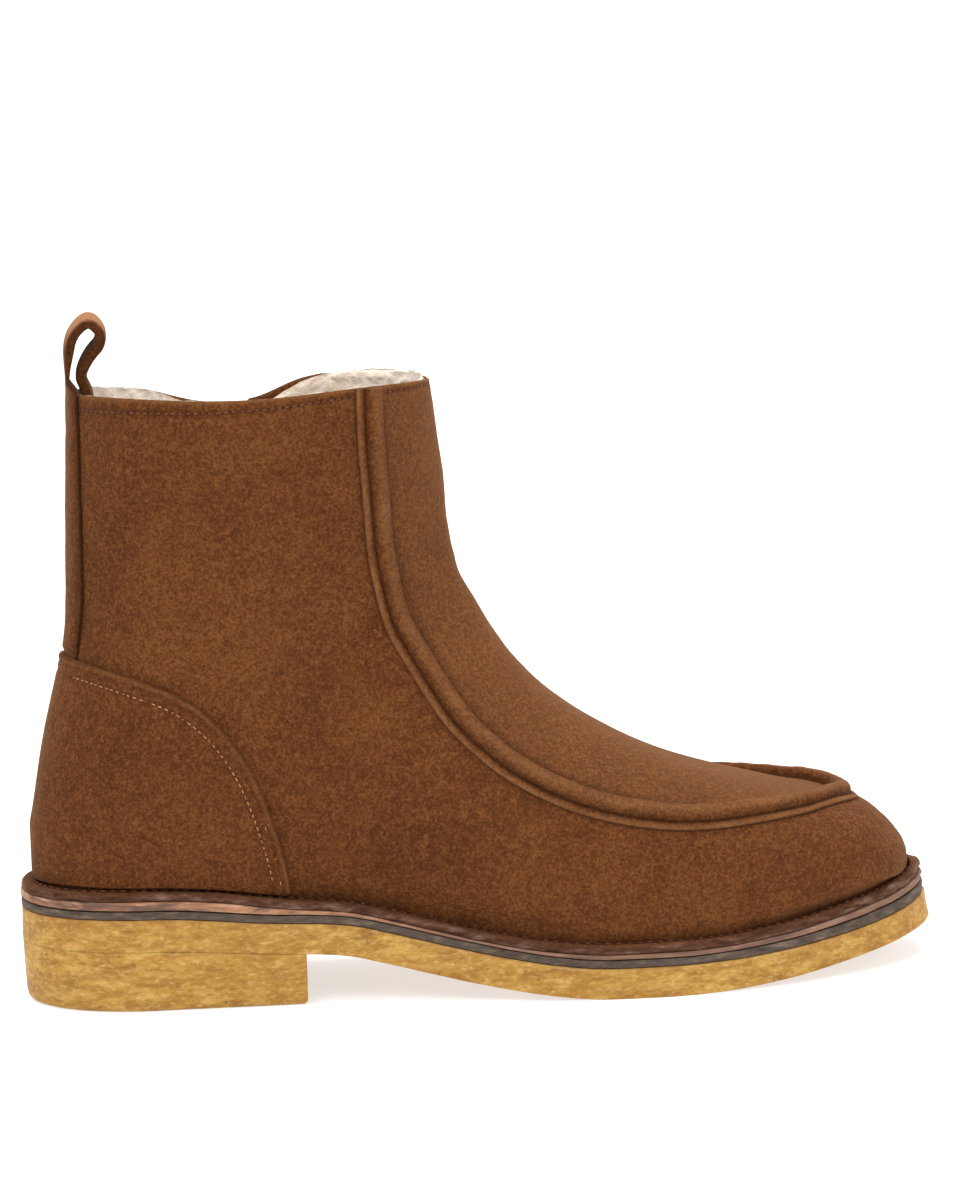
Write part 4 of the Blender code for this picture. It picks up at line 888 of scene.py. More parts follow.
def crepe_finish(name):
    """Amber crumb rubber, streaked along the sole, with pale and dark specks."""
    f = Finish(name, 0.62, Specular_IOR_Level=0.35, Subsurface_Weight=0.12, Subsurface_Scale=0.004)
    f.shader.inputs["Subsurface Radius"].default_value = (1.0, 0.6, 0.2)
    long = f.stretched(0.3, 0.3, 1.0)
    streaks = f.noise(1.7 * MM, 5, 0.7, long)
    deep, mid, pale = colour(144, 100, 34), colour(172, 128, 50), colour(194, 154, 76)
    base = f.ramp(streaks, (0.36, deep), (0.5, mid), (0.63, pale))
    base = f.mix(f.ramp(f.noise(12 * MM, 3), (0.42, 0.4), (0.62, 0.0)), base, colour(160, 112, 40))
    grain = f.noise(0.6 * MM, 3, 0.75, f.stretched(0.5, 0.5, 1.0))
    base = f.mix(f.ramp(grain, (0.52, 0.0), (0.72, 0.6)), base, colour(214, 180, 116))
    base = f.mix(f.ramp(grain, (0.28, 0.7), (0.46, 0.0)), base, colour(132, 88, 34))
    dots = f.ramp(f.specks(5.5 * MM), (0.045, 0.85), (0.075, 0.0))
    base = f.mix(dots, base, colour(92, 56, 30))
    base = f.mix(f.painted("shade"), base, colour(140, 98, 56))
    normal = f.bump(grain, 0.3 * MM, 0.6)
    normal = f.bump(streaks, 0.6 * MM, 0.4, normal)
    return f.done(base, normal)


def leather_layer_finish():
    """The tan layer's edge: fibres along the sole, smeared with dark dye."""
    f = Finish("sole_leather", 0.75, Specular_IOR_Level=0.3)
    fibres = f.noise(0.9 * MM, 4, 0.7, f.stretched(0.22, 0.22, 1.0))
    deep, mid, pale = colour(124, 82, 58), colour(164, 118, 88), colour(196, 154, 124)
    base = f.ramp(fibres, (0.3, deep), (0.5, mid), (0.7, pale))
    smears = f.noise(4.0 * MM, 4, 0.6, f.stretched(0.35, 0.35, 1.6), distortion=0.6)
    base = f.mix(f.ramp(smears, (0.50, 0.0), (0.62, 0.9)), base, colour(92, 68, 60))
    base = f.mix(f.painted("shade"), base, colour(104, 78, 66))
    return f.done(base, f.bump(fibres, 0.4 * MM, 0.8))


def ply_finish():
    f = Finish("grey_ply", 0.8, Specular_IOR_Level=0.25)
    fibres = f.noise(0.8 * MM, 4, 0.7, f.stretched(0.25, 0.25, 1.0))
    deep, mid, pale = colour(58, 47, 40), colour(84, 71, 61), colour(118, 101, 86)
    base = f.ramp(fibres, (0.3, deep), (0.52, mid), (0.72, pale))
    return f.done(base, f.bump(fibres, 0.4 * MM, 0.8))


def tape_finish():
    """Woven zip tape: fine ribs one way across, one way along."""
    f = Finish("zip_tape", 0.85, Sheen_Weight=0.2)
    wave = {"Vector": f.place, "Scale": 700.0, "Distortion": 0.6}
    ribs = add(f.tree, "TexWave", wave, bands_direction="Z").outputs["Fac"]
    cross = add(f.tree, "TexWave", wave | {"Scale": 520.0}, bands_direction="X").outputs["Fac"]
    weave = f.mix(0.5, ribs, cross)
    base = f.ramp(weave, (0.2, colour(34, 25, 20)), (0.8, colour(82, 64, 52)))
    return f.done(base, f.bump(weave, 0.12 * MM, 0.6))


def thread_finish(name, dark, light):
    f = Finish(name, 0.7, Sheen_Weight=0.05, Specular_IOR_Level=0.2)
    twist = f.noise(0.35 * MM, 2, 0.6)
    base = f.ramp(twist, (0.35, dark), (0.65, light))
    return f.done(base, f.bump(twist, 0.2 * MM, 0.8))


def metal_finish():
    """Aged brass: darker, rougher tarnish and brighter, smoother metal in random patches."""
    f = Finish("zip_metal", 0.32, Metallic=1.0)
    tarnish = f.noise(1.8 * MM, 4, 0.65)
    base = f.ramp(tarnish, (0.35, colour(120, 92, 56)), (0.6, colour(186, 154, 102)))
    rough = f.ramp(tarnish, (0.3, 0.5), (0.7, 0.24))
    return f.done(base, f.bump(f.noise(0.4 * MM), 0.02 * MM, 0.3), rough)


# Making meshes


def eased(points):
    """Small moves of the sole's layers: they lie a little higher round the heel, and at
    the toe the crepe thins while the layers above it thicken."""
    x, z = points[..., 0], points[..., 2]
    heel = np.interp(z, [0, 26 * MM, 32 * MM, 75 * MM], [0, HEEL_LIFT, HEEL_LIFT, 0])
    over = z - tread_height(np.clip(x, 0.1, SOLE_LENGTH - 1 * MM))
    moves = [0, -TOE_CREPE_THINNER, TOE_LAYERS_THICKER, 0]
    toe = np.interp(over, [0, OUTSOLE_THICKNESS, 15.5 * MM, 45 * MM], moves)
    lift = heel * smoothstep((HEEL_MOVE_END - x) / HEEL_MOVE_FADE)
    lift += toe * smoothstep((x - TOE_MOVE_START) / TOE_MOVE_FADE)
    return points + lift[..., None] * np.array([0, 0, 1])


def new_object(name, points, faces, finish, painted=None, sharp=50, body="boot"):
    """A named, smooth-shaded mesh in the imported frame, riding a body. painted holds a
    share for each point under an attribute's name."""
    mesh = bpy.data.meshes.new(name)
    mesh.from_pydata((eased(points) - ORIGIN).tolist(), [], faces)
    shape = bmesh.new()
    shape.from_mesh(mesh)
    bmesh.ops.recalc_face_normals(shape, faces=shape.faces)
    shape.to_mesh(mesh)
    shape.free()
    for label in ("wear_and_highlight", "shade", "cut"):
        values = (painted or {}).get(label)
        layer = mesh.attributes.new(label, "FLOAT", "POINT")
        if values is not None:
            layer.data.foreach_set("value", np.asarray(values, np.float32))
    mesh.materials.append(finish)
    mesh.shade_smooth()
    mesh.set_sharp_from_angle(angle=math.radians(sharp))
    made = bpy.data.objects.new(name, mesh)
    bpy.context.collection.objects.link(made)
    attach(made, body)
    return made


def shell(name, outer, inner, cells, finish, painted=None, body="boot"):
    """A closed solid from two matching sheets of points, with a rim along every open
    edge. Points of the outer sheet that coincide are joined, and so are their partners."""
    columns = outer.shape[1]
    outer, inner = outer.reshape(-1, 3), inner.reshape(-1, 3)
    keys = np.round(outer / MERGE).astype(np.int64)
    _, first, back = np.unique(keys, axis=0, return_index=True, return_inverse=True)
    back = first[back.ravel()]
    cells = np.asarray(cells)
    a = cells[:, 0] * columns + cells[:, 1]
    quads = back[np.stack([a, a + 1, a + 1 + columns, a + columns], 1)]
    used, number = np.unique(quads, return_inverse=True)
    quads = number.reshape(quads.shape)
    count = len(used)
    faces, edges = [], set()
    for quad in quads.tolist():
        loop = [v for n, v in enumerate(quad) if v != quad[n - 1]]
        if len(set(loop)) < 3:
            continue
        faces.append(loop)
        faces.append([v + count for v in reversed(loop)])
        edges.update(zip(loop, loop[1:] + loop[:1]))
    for start, stop in edges:
        if (stop, start) not in edges:
            faces.append([stop, start, start + count, stop + count])
    points = np.concatenate([outer[used], inner[used]])
    painted = {n: np.tile(np.asarray(v).reshape(-1)[used], 2) for n, v in (painted or {}).items()}
    return new_object(name, points, faces, finish, painted, body=body)


def all_cells(rows, columns):
    r, c = np.meshgrid(np.arange(rows - 1), np.arange(columns - 1), indexing="ij")
    return np.stack([r.ravel(), c.ravel()], 1)


def ring_faces(rows, count, closed=False, start=0):
    """Quads between closed rings of points, numbered one ring after another."""
    faces = []
    for row in range(rows if closed else rows - 1):
        below, above = start + row * count, start + (row + 1) % rows * count
        for i in range(count):
            j = (i + 1) % count
            faces.append([below + i, below + j, above + j, above + i])
    return faces


def tube(name, rings, finish, painted=None, closed=False, body="boot"):
    """A solid swept from one closed ring of points to the next, with flat ends unless
    the sweep itself is closed."""
    rows, count = rings.shape[:2]
    faces = ring_faces(rows, count, closed)
    if not closed:
        faces.append(list(range(count))[::-1])
        faces.append([(rows - 1) * count + i for i in range(count)])
    painted = {n: np.asarray(v).reshape(-1) for n, v in (painted or {}).items()}
    return new_object(name, rings.reshape(-1, 3), faces, finish, painted, body=body)


def even_steps(line, pitch):
    """Positions along a line of points, a pitch apart, as fractional indices."""
    length = distances(line)
    count = max(int(round(length[-1] / pitch)), 2)
    return np.interp(np.arange(0.5, count) / count * length[-1], length, np.arange(len(line)))


def at_steps(values, steps):
    return np.stack([np.interp(steps, np.arange(len(values)), column) for column in values.T], 1)


def beads(name, centres, along, out, size, finish, body="boot"):
    """Small rounded bars, one for each centre, merged into one piece. size is the length,
    width and height of a bar."""
    turns, rings = 8, 5
    share = np.linspace(0, math.pi, rings + 2)[1:-1]
    around = np.linspace(0, 2 * math.pi, turns, endpoint=False)
    local = [(-0.5, 0, 0)]
    for s in share:
        r = 0.5 * math.sin(s) ** 0.6
        local += [(-0.5 * math.cos(s), r * math.cos(a), r * math.sin(a)) for a in around]
    local = np.array(local + [(0.5, 0, 0)]) * np.asarray(size)
    faces = [[0, 1 + (i + 1) % turns, 1 + i] for i in range(turns)]
    faces += ring_faces(rings, turns, start=1)
    last = 1 + (rings - 1) * turns
    faces += [[last + i, last + (i + 1) % turns, len(local) - 1] for i in range(turns)]
    along = unit(along)
    side = unit(np.cross(out, along))
    out = np.cross(along, side)
    points = centres[:, None] + local[None, :, :1] * along[:, None]
    points = points + local[None, :, 1:2] * side[:, None] + local[None, :, 2:] * out[:, None]
    total = []
    for n in range(len(centres)):
        total += [[v + n * len(local) for v in face] for face in faces]
    return new_object(name, points.reshape(-1, 3), total, finish, body=body)


def stitch_row(name, line, out, finish, hole_shadows, pitch=2.3 * MM, length=1.7 * MM, width=0.55 * MM):
    """Thread along a line of points, with a dark bead at each end of a stitch: the painted shadow
    of its pinhole.
    """
    steps = even_steps(line, pitch)
    centres, normal = at_steps(line, steps), at_steps(out, steps)
    along = at_steps(np.gradient(line, axis=0), steps)
    jitter = noise(centres, 1.1 * MM, 7)[:, None]
    centres = centres + normal * (0.12 * MM * noise(centres, 2.5 * MM, 8) - 0.06 * MM)[:, None]
    along = unit(along)
    along = along + 0.12 * jitter * np.cross(normal, along)
    beads(name, centres, along, normal, (length, width, width * 0.9), finish)
    between = at_steps(line, np.minimum(steps + (steps[1] - steps[0]) / 2, len(line) - 1))
    # Dark beads, sunk a little, are the painted shadows in the pinholes.
    hole = 0.75 * MM, 0.6 * MM, 0.3 * MM
    beads(name + "_hole_shadows", between - normal * 0.05 * MM, along, normal, hole, hole_shadows)


# The sole

RING_STATIONS = 420


def ring_points(inset, height):
    """A closed loop of the outline, from the heel's back along the outer side."""
    line = Outline(inset)
    at = (1 - np.cos(np.linspace(0, math.pi, RING_STATIONS))) / 2
    x = line.start + at * (line.end - line.start)
    outer = plate_point(x, line.reach(x, OUTER), height(x))
    inner = plate_point(x, line.reach(x, INNER), height(x))
    return np.concatenate([outer, inner[-2:0:-1]])


def slab(name, levels, finish, rough=0.12, seed=0, shade=None, darkening=None):
    """A layer of the sole from loops of inset and height, lowest first. Its edge is
    slightly uneven."""
    loops = [ring_points(inset, height) for inset, height in levels]
    points = np.stack(loops)
    outward = points - points.mean(1, keepdims=True)
    outward[..., 2] = 0
    outward = unit(outward, 1e-9)
    wave = rough * MM * (noise(points, 5 * MM, seed) + 0.7 * noise(points, 1.7 * MM, seed + 1))
    points = points + outward * wave[..., None]
    rings, count = points.shape[:2]
    faces = ring_faces(rings, count)
    half = RING_STATIONS
    for start, flip in ((0, True), ((rings - 1) * count, False)):
        for i in range(half - 1):
            other = (count - i) % count, (count - i - 1) % count
            loop = [start + i, start + i + 1, start + other[1], start + other[0]]
            loop = [v for n, v in enumerate(loop) if v != loop[n - 1]]
            if len(set(loop)) >= 3:
                faces.append(loop[::-1] if flip else loop)
    painted = {}
    if shade is not None:
        painted["shade"] = np.repeat(shade, count)
    if darkening is not None:
        painted["shade"] = darkening(points[..., 0]).reshape(-1)
    return new_object(name, points.reshape(-1, 3), faces, finish, painted)


def level(base, share=0.0, thickness=midsole_thickness):
    """A height in the sole: a share of a thickness above a base."""
    return lambda x: base + share * thickness(x)


def build_sole(crepe, heel_crepe, ply, leather, suede_welt):
    t = OUTSOLE_THICKNESS
    insets = (0.32, 0.10, 0.02, 0.0, 0.0, 0.0, 0.0, 0.10, 0.40)
    heights = [0.0, 0.05 * MM, 0.18 * MM, 0.9 * MM]
    heights += [t * 0.35, t * 0.7, t - 0.7 * MM, t - 0.2 * MM, t]
    edge = [(inset * MM, level(height)) for inset, height in zip(insets, heights)]
    shade = (0.05, 0.05, 0.0, 0, 0, 0, 0.1, 0.35, 0.5)
    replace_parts(slab("crepe_outsole", edge, crepe, 0.14, 11, shade), "outsole")
    t = FILLER_THICKNESS
    insets = (1.0, 0.16, 0.06, 0.16, 1.0)
    heights = (-0.2 * MM, 0.0, t * 0.5, t, t + 0.1 * MM)
    edge = [(inset * MM, level(FILLER_BASE + height)) for inset, height in zip(insets, heights)]
    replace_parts(slab("grey_ply", edge, ply, 0.16, 21), "filler")
    insets, shares = (0.9, 0.14, 0.02, 0.14), (0.0, 0.1, 0.5, 0.95)
    edge = [(inset * MM, level(MIDSOLE_BASE, share)) for inset, share in zip(insets, shares)]
    edge.append((1.0 * MM, level(MIDSOLE_BASE + 0.1 * MM, 1.0)))

    # The midsole's edge is painted darker from the heel block forward, through the shade attribute.
    def darker_forward(x):
        return 0.65 * smoothstep((x - 0.085) / 0.05)

    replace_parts(slab("leather_midsole", edge, leather, 0.22, 31, darkening=darker_forward), "midsole")
    build_heel_block(heel_crepe)
    build_welt(suede_welt)


def build_heel_block(finish):
    """The heel block, with a rounded lower edge and a straight front."""
    turn = np.linspace(0, math.pi / 2, 150)
    at = (1 - np.cos(turn)) ** 0.9
    levels = (
        (HEEL_TAPER + HEEL_EDGE_ROUND * 1.4, 0.0),
        (HEEL_TAPER + HEEL_EDGE_ROUND, 0.05 * MM),
        (HEEL_TAPER + HEEL_EDGE_ROUND * 0.45, 0.5 * MM),
        (HEEL_TAPER + HEEL_EDGE_ROUND * 0.12, 1.2 * MM),
        (HEEL_TAPER, 2.2 * MM),
        (HEEL_TAPER * 0.7, 6 * MM),
        (HEEL_TAPER * 0.3, 11 * MM),
        (0.0, -0.14 * MM),
        (0.04 * MM, -0.02 * MM),
    )
    columns = []
    for inset, height in levels:
        line = Outline(max(inset, 0.0))
        x = line.start + at * (HEEL_BLOCK_LENGTH - line.start)
        z = np.full(len(x), height)
        if inset < 0.6 * MM and height < 0:
            z = plate_point(x, 0, height)[:, 2]
        front = -1.1 * MM * smoothstep((1.6 * MM - height) / (1.6 * MM)) if height >= 0 else 0
        x_at = x + front * smoothstep((x - HEEL_BLOCK_LENGTH + 6 * MM) / (6 * MM))
        columns.append(np.stack([x_at, line.reach(x, OUTER), z], 1))
        columns.insert(0, np.stack([x_at, line.reach(x, INNER), z], 1))
    count = len(levels)
    sheet = np.stack(columns, 1)
    inner_side, outer_side = sheet[:, :count][:, ::-1], sheet[:, count:]
    both = np.concatenate([outer_side, inner_side[:, ::-1]], 1)
    rows, width = both.shape[:2]
    push = unit(both * [1, 1, 0] - [HEEL_BLOCK_LENGTH * 0.6, 0, 0], 1e-9)
    wave = 0.14 * MM * (noise(both, 5 * MM, 41) + 0.7 * noise(both, 1.8 * MM, 42))
    inside = smoothstep((HEEL_BLOCK_LENGTH - both[..., 0]) / (4 * MM))
    both = both + push * [1, 1, 0] * (wave * inside)[..., None]
    faces = ring_faces(rows, width)
    faces.append([(rows - 1) * width + c for c in range(width)])
    faces.append(list(range(width))[::-1])
    heel = new_object("crepe_heel", both.reshape(-1, 3), faces, finish, sharp=40)
    merge(heel)
    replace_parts(heel, "heel")


def merge(thing, distance=0.004 * MM):
    """Joins points that coincide and drops faces that have no area."""
    shape = bmesh.new()
    shape.from_mesh(thing.data)
    bmesh.ops.remove_doubles(shape, verts=shape.verts, dist=distance)
    bmesh.ops.dissolve_degenerate(shape, edges=shape.edges, dist=distance)
    bmesh.ops.recalc_face_normals(shape, faces=shape.faces)
    shape.to_mesh(thing.data)
    shape.free()


def welt_inner_edge(height, lift=0.0):
    """The welt's inner edge, which stands further out at the toe, where the upper leans."""
    near = ring_points(WELT_INNER_EDGE + lift, height)
    far = ring_points(WELT_TOE_EDGE + lift, height)
    share = smoothstep((near[:, :1] / SOLE_LENGTH - 0.74) / 0.13)
    return near + (far - near) * share


def build_welt(finish):
    """The suede flange turned out around the upper's foot. Its cut edge is painted."""
    t = WELT_THICKNESS

    def at(share):
        return lambda x: seat_height(x) + share * t

    insets = (0.35, 0.1, 0.1, 0.2, 0.6, 1.2, 2.2)
    shares = (0.0, 0.25, 0.5, 0.78, 0.95, 1.0, 0.98)
    loops = [welt_inner_edge(at(0.0))]
    loops += [ring_points(inset * MM, at(share)) for inset, share in zip(insets, shares)]
    loops += [welt_inner_edge(at(0.94), -0.6 * MM), welt_inner_edge(at(1.12))]
    points = np.stack(loops, 1)
    wave = 0.2 * MM * noise(points, 6 * MM, 51) + 0.14 * MM * noise(points, 2 * MM, 52)
    outward = unit((points - [SOLE_LENGTH / 2, 0, 0]) * [0.45, 1, 0])
    hold = np.array([0, 1, 1, 1, 1, 1, 0.6, 0.3, 0, 0])
    points = points + outward * (wave * hold)[..., None]
    lift = np.array([0, 0, 0, 0.3, 0.7, 1, 1, 0.8, 0.6, 0.4])
    points[..., 2] += lift * 0.14 * MM * noise(points, 4 * MM, 53)
    cut = np.tile([1, 1, 1, 1, 0.75, 0.25, 0.0, 0, 0, 0], (len(points), 1))
    cut = np.clip(cut + 0.25 * noise(points, 3 * MM, 54) * (cut > 0) * (cut < 1), 0, 1)
    shade = np.tile([0.0, 0, 0, 0, 0, 0, 0, 0, 0.5, 0.9], (len(points), 1))
    welt = tube("suede_welt", points, finish, {"cut": cut, "shade": shade}, closed=True)
    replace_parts(welt, "welt")


# The upper


def dense_rows():
    """Section numbers: close together at the toe tip and at the stitched collar."""
    tip = np.linspace(0, 1, 10) ** 1.7
    forepart = np.linspace(1, 10, 84)[1:]
    heel = np.linspace(10, 12.4, 34)[1:]
    shaft = np.linspace(12.4, 17.5, 56)[1:]
    collar = np.linspace(17.5, COLLAR_SECTION, 22)[1:]
    return np.concatenate([tip, forepart, heel, shaft, collar])


HALF_COLUMNS = 100
SLOT_COLUMNS = 4


def upper_grid(rows, half=HALF_COLUMNS, slot_columns=SLOT_COLUMNS):
    """Sections and places of the upper's grid, with columns that follow the zip's slot,
    and the cells that the slot leaves open."""
    even = np.linspace(0, 1, half + 1)
    low = int(round(zip_line(14)[0] * half)) - slot_columns // 2
    high = low + slot_columns
    first, last = zip_edges(rows)
    hold = smoothstep((rows - (ZIP_BOTTOM_SECTION - 4)) / 3)
    first = even[low] + (first - even[low]) * hold
    last = even[high] + (last - even[high]) * hold
    before, behind = even[low - half // 6], even[high + half // 6]
    place = np.empty((len(rows), 2 * half + 1))
    for i in range(len(rows)):
        knots = [0, before, even[low], even[high], behind, 1]
        inner = np.interp(even, knots, [0, before, first[i], last[i], behind, 1])
        place[i] = np.concatenate([-even[::-1], inner[1:]])
    k = np.repeat(rows[:, None], 2 * half + 1, 1)
    cells = all_cells(*k.shape)
    row, column = cells.T
    open_slot = (column >= half + low) & (column < half + high)
    open_slot &= rows[row] > ZIP_BOTTOM_SECTION
    return k, place, cells[~open_slot]


def below_rim(k):
    """How far a row that is not yet trimmed lies below the collar's edge."""
    return (COLLAR_SECTION - k) * SECTION_STEP


def at_rim(k, place, fleece=0.0):
    """Sections trimmed to the collar, which dips towards the corners of the zip's slot.
    The fleece stays clear of those corners."""
    first, last = zip_edges(np.array([COLLAR_SECTION]))
    gap = np.maximum(first - place, place - last) * GIRTH_STEP
    behind = place > last
    bare = smoothstep(1 - gap / np.where(behind, 12 * MM, 24 * MM))
    bare = fleece * np.where(behind, 0.5, 1.0) * bare
    dip = CORNER_DIP * smoothstep(1 - gap / CORNER_REACH) + bare
    near = smoothstep((k - COLLAR_SECTION + 1.3) / 1.3)
    return trimmed(k, place) - dip / SECTION_STEP * near


def build_upper(finish):
    k, place, cells = upper_grid(dense_rows())
    drop = below_rim(k)
    groove = np.exp(-(((drop - COLLAR_STITCH_DROP) / (0.75 * MM)) ** 2))
    rim = smoothstep(1 - drop / (1.2 * MM))
    at = at_rim(k, place)
    outer = dressed(at, place, -0.35 * MM * groove - 0.55 * MM * rim)
    inside = dressed(at, place, -SUEDE_LAYER + 0.2 * MM * rim)
    seam_at, seam_place = seam_path(np.linspace(0, APRON_SEAM.key[-1], 200))
    within = (np.interp(k, seam_at, seam_place, left=-1) - np.abs(place)) * GIRTH_STEP
    apron = smoothstep(within / (2 * MM))
    roll_shadow = np.exp(-(((within - ROLL_WIDTH / 2 - 0.3 * MM) / (1.1 * MM)) ** 2))
    # Painted: the collar's rolled edge comes out lighter, and so does the apron over the top of the
    # foot, as a painted highlight. The stitch groove gets painted shade, and the apron along the
    # roll's inner foot gets a painted contact shadow.
    wear_and_highlight, shade = np.maximum(0.6 * rim, 0.24 * apron), np.maximum(0.3 * groove, 0.4 * roll_shadow)
    painted = {"wear_and_highlight": wear_and_highlight, "shade": shade}
    upper = shell("suede_upper", outer, inside, cells, finish, painted)
    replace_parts(upper, "upper")
    return upper


def build_lining(finish):
    """The fleece inside: a thick, curly layer that stands up a little at the rim."""
    rows = np.concatenate([np.linspace(6, 16, 60), np.linspace(16, COLLAR_SECTION, 64)[1:]])
    k, place, cells = upper_grid(rows, 140, 6)
    at = at_rim(k, place, 3.0 * MM)
    near_rim = smoothstep(1 - below_rim(k) / (3 * MM))
    outer = dressed(at, place, -SUEDE_LAYER - 0.12 * MM - 0.15 * MM * near_rim)
    base = dressed(at, place, -SUEDE_LAYER - PILE)
    first, last = zip_edges(rows)
    gap = np.maximum(first[:, None] - place, place - last[:, None]) * GIRTH_STEP
    free = smoothstep((gap - 4 * MM) / (6 * MM))
    curl = (noise(base, 2.2 * MM, 61) + 0.7 * noise(base, 1.1 * MM, 62)) * (0.15 + 0.85 * free)
    inner = dressed(at, place, -SUEDE_LAYER - PILE * (1 - 0.3 * near_rim) + 0.55 * MM * curl)
    stand = np.where(place > 0, 1.6 * MM * smoothstep((gap - 20 * MM) / (14 * MM)), 0) - 0.35 * MM
    puff = (stand + 0.35 * MM * curl) * smoothstep(1 - below_rim(k) / (1.5 * MM))
    inner[..., 2] += puff
    outer[..., 2] += 0.6 * puff
    return shell("fleece_lining", outer, inner, cells, finish)


def counter_grid(rows, columns, side, power=1.6):
    """Places of the counter on one side, from its edge down to the welt."""
    clear = WELT_THICKNESS + 3 * GAP

    def low(points):
        level = feather_level(np.clip(points[..., 0], FEATHER.start, FEATHER.end))
        return level[..., 2] + clear - points[..., 2]

    edge = place_where(rows, side, counter_covers, 0.4, 1.0)
    foot = np.maximum(place_where(rows, side, low, 0.5, 1.0), edge)
    share = np.linspace(0, 1, columns) ** power
    return edge[:, None] + (foot - edge)[:, None] * share


def counter_covers(points):
    ahead, rise = points[..., 0] - COUNTER_CENTRE_X, points[..., 2] - COUNTER_CENTRE_Z
    angle = np.arctan2(rise, ahead) / (math.pi / 2)
    reach = COUNTER_REACH * COUNTER_EDGE.smooth("reach", angle)
    return reach - np.hypot(ahead, rise)


def build_counter(finish, thread, hole_shadows):
    forward = np.linspace(COUNTER_FRONT, HEEL_SECTION, 76)
    share = 1 - (1 - np.linspace(0, 1, 70)[1:]) ** 1.7
    behind = HEEL_SECTION + (COUNTER_TOP - HEEL_SECTION) * share
    rows = np.concatenate([forward, behind])
    columns = 64
    outer_places = -counter_grid(rows, columns, OUTER)
    inner_places = counter_grid(rows, columns, INNER)[:, ::-1]
    place = np.concatenate([outer_places, inner_places], 1)
    k = np.repeat(rows[:, None], 2 * columns, 1)
    base = dressed(k, place, COUNTER_GAP)
    away = nearest(base, np.concatenate([base[:, 0], base[::-1, -1]]))
    bead = np.exp(-(((away - 0.9 * MM) / (0.6 * MM)) ** 2))
    crease = np.exp(-(((away - 2.3 * MM) / (0.6 * MM)) ** 2))
    groove = np.exp(-(((away - 5.0 * MM) / (0.8 * MM)) ** 2))
    turned = smoothstep(1 - away / (0.8 * MM))
    height = SKIN + 0.22 * MM * bead - 0.25 * MM * crease - 0.3 * MM * groove
    height = height - (SKIN - 0.25 * MM) * turned * 0.8
    outer = dressed(k, place, COUNTER_GAP + height)
    cells = all_cells(*k.shape)
    cells = cells[cells[:, 1] != columns - 1]
    # Painted: the bead a little lighter; painted shade in the crease, in the stitch groove and
    # along the turned edge.
    painted = {"wear_and_highlight": 0.22 * bead, "shade": 0.2 * crease + 0.25 * groove + 0.35 * turned}
    counter = shell("suede_counter", outer, base, cells, finish, painted)
    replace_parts(counter, "heel_counter")
    for side, name in ((OUTER, "outer"), (INNER, "inner")):
        counter_stitches(name, side, thread, hole_shadows)


def counter_stitches(name, side, thread, hole_shadows):
    """Rows of stitches inside the counter's edge, a second one near its front end."""
    for number, inset, share in ((1, 5.0 * MM, 1.0), (2, 2.7 * MM, 0.2)):

        def covers(points, inset=inset):
            return counter_covers(points) - inset

        start = COUNTER_FRONT + 0.8 * inset / SECTION_STEP
        at = start + (COUNTER_TOP - 0.35 - start) * np.linspace(0, 1, 900) ** 2.5
        place = side * place_where(at, side, covers, 0.4, 1.0)
        line = dressed(at, place, COUNTER_GAP + SKIN - 0.28 * MM)
        out = normals(at, place)
        low = feather_level(np.clip(line[:, 0], FEATHER.start, FEATHER.end))[:, 2]
        on_edge = np.abs(covers(surface(at, place))) < 0.5 * MM
        clear_of_welt, clear_of_strap = line[:, 2] - low > 1.9 * MM, np.abs(place) < 0.985
        keep = on_edge & clear_of_welt & clear_of_strap
        line, out = line[keep], out[keep]
        run = distances(line)
        part = run <= share * run[-1]
        label = f"counter_stitch_{name}_{number}"
        stitch_row(label, line[part], out[part], thread, hole_shadows, 2.0 * MM, 1.35 * MM, 0.43 * MM)


